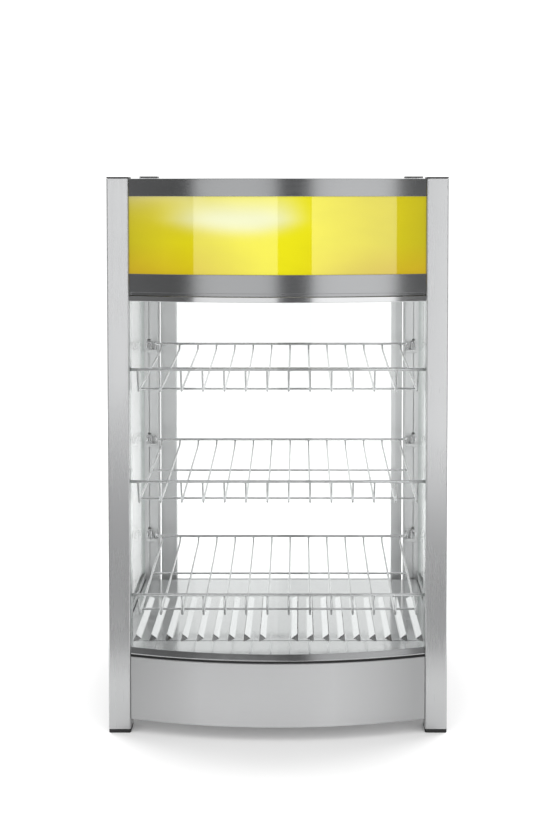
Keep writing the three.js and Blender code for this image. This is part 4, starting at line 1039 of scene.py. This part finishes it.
world = bpy.data.worlds.new("studio")
bpy.context.scene.world = world
world.use_nodes = True
wn, wl = world.node_tree.nodes, world.node_tree.links
wn.clear()
out = wn.new("ShaderNodeOutputWorld")
seen = wn.new("ShaderNodeBackground")
seen.inputs["Color"].default_value = (1, 1, 1, 1)
seen.inputs["Strength"].default_value = 1.25
mirrored = wn.new("ShaderNodeBackground")
tc = wn.new("ShaderNodeTexCoord")
sep = wn.new("ShaderNodeSeparateXYZ")
wl.new(tc.outputs["Generated"], sep.inputs[0])
ramp = wn.new("ShaderNodeValToRGB")
ramp.color_ramp.elements[0].position = 0.0
ramp.color_ramp.elements[0].color = (0.13, 0.13, 0.135, 1)
ramp.color_ramp.elements[1].position = 1.0
ramp.color_ramp.elements[1].color = (1.0, 1.0, 1.0, 1)
for pos, v in ((0.045, 0.13), (0.07, 0.20), (0.12, 0.23), (0.20, 0.42), (0.32, 0.75), (0.45, 0.95)):
    el = ramp.color_ramp.elements.new(pos)
    el.color = (v, v, v, 1)
half = wn.new("ShaderNodeMath")
half.operation = "MULTIPLY_ADD"
half.inputs[1].default_value, half.inputs[2].default_value = 0.5, 0.5
wl.new(sep.outputs["Y"], half.inputs[0])
wl.new(half.outputs[0], ramp.inputs["Fac"])
wl.new(ramp.outputs["Color"], mirrored.inputs["Color"])
# Towards the back the low part of the room is the brighter one.
by_height = wn.new("ShaderNodeMapRange")
for key, v in (("From Min", 0.12), ("From Max", 0.36), ("To Min", 0.30), ("To Max", -0.03)):
    by_height.inputs[key].default_value = v
wl.new(sep.outputs["Z"], by_height.inputs["Value"])
backward = wn.new("ShaderNodeMapRange")
for key, v in (("From Min", 0.3), ("From Max", 0.7), ("To Min", 0.0), ("To Max", 1.0)):
    backward.inputs[key].default_value = v
wl.new(sep.outputs["Y"], backward.inputs["Value"])
change = wn.new("ShaderNodeMath")
change.operation = "MULTIPLY_ADD"
change.inputs[2].default_value = 1.0
wl.new(by_height.outputs["Result"], change.inputs[0])
wl.new(backward.outputs["Result"], change.inputs[1])
wl.new(change.outputs[0], mirrored.inputs["Strength"])
path_node = wn.new("ShaderNodeLightPath")
mix = wn.new("ShaderNodeMixShader")
wl.new(path_node.outputs["Is Glossy Ray"], mix.inputs[0])
wl.new(seen.outputs[0], mix.inputs[1])
wl.new(mirrored.outputs[0], mix.inputs[2])
wl.new(mix.outputs[0], out.inputs["Surface"])


def softbox(name, x0, x1, z0, z1, y, radiance):
    li = bpy.data.lights.new(name, "AREA")
    li.shape = "RECTANGLE"
    li.size, li.size_y = x1 - x0, z1 - z0
    li.energy = radiance * math.pi * (x1 - x0) * (z1 - z0)
    ob = bpy.data.objects.new(name, li)
    ob.location = ((x0 + x1) / 2, y, (z0 + z1) / 2)
    ob.rotation_euler = (math.pi / 2, 0, 0)
    ob.visible_camera = False
    bpy.context.scene.collection.objects.link(ob)
    return ob


softbox("softbox_left", -1.185, -0.04, -0.12, 1.15, -2.79, 1.12)
softbox("softbox_right", 0.40, 1.65, -0.30, 1.15, -2.79, 1.36)
softbox("softbox_high", 0.38, 1.95, 1.22, 2.2, -2.79, 0.80)
softbox("softbox_low", -0.04, 0.32, -0.38, 0.02, -2.79, 1.0)
softbox("front_low_left", -1.185, -0.04, -1.10, -0.12, -2.79, 0.36)
softbox("front_low_right", 0.40, 1.65, -1.10, -0.30, -2.79, 0.42)


def side_wash(name, x, size, power):
    """A broad soft lamp that whitens the floor beside the cabinet and shows in no reflection."""
    li = bpy.data.lights.new(name, "AREA")
    li.shape = "SQUARE"
    li.size = size
    li.energy = power
    ob = bpy.data.objects.new(name, li)
    ob.location = (x, 1.0, 1.3)
    ob.rotation_euler = (Vector((x, 1.0, 1.3)) - Vector((0.3 * x, 0.1, 0.0))).to_track_quat("Z", "Y").to_euler()
    ob.visible_camera = False
    ob.visible_glossy = False
    bpy.context.scene.collection.objects.link(ob)


side_wash("side_wash_left", -1.6, 1.2, 20.0)
side_wash("side_wash_right", 1.6, 1.2, 20.0)

# A weak lamp under the deck: the lined inside of the base shows through the louvres.
li = bpy.data.lights.new("base_inside", "AREA")
li.shape = "RECTANGLE"
li.size, li.size_y = 0.36, 0.26
li.energy = 0.70 * math.pi * li.size * li.size_y
inside = bpy.data.objects.new("base_inside", li)
inside.location = P(0, 170, 99)
inside.visible_camera = False
bpy.context.scene.collection.objects.link(inside)

# ------------------------------------------------------------------------- camera
cam_data = bpy.data.cameras.new("camera")
cam = bpy.data.objects.new("camera", cam_data)
bpy.context.scene.collection.objects.link(cam)
bpy.context.scene.camera = cam
cam_data.sensor_width = 36.0
cam_data.lens = 36.0 * 1248.7 / 826.0
cam_data.shift_x, cam_data.shift_y = -0.0286, -0.215
cam_data.clip_start, cam_data.clip_end = 0.05, 60
cam.location = (0.02893, -0.18902 - 1.674, 0.7387)
cam.rotation_euler = (math.radians(90 - 2.09), 0, 0)

scene = bpy.context.scene
scene.view_settings.view_transform = "Standard"
scene.view_settings.look = "None"
scene.cycles.use_denoising = True
scene.cycles.transparent_max_bounces = 24
scene.cycles.max_bounces = 10
scene.cycles.glossy_bounces = 6
scene.cycles.diffuse_bounces = 3
scene.cycles.caustics_reflective = False
scene.cycles.caustics_refractive = False
scene.cycles.sample_clamp_indirect = 4.0
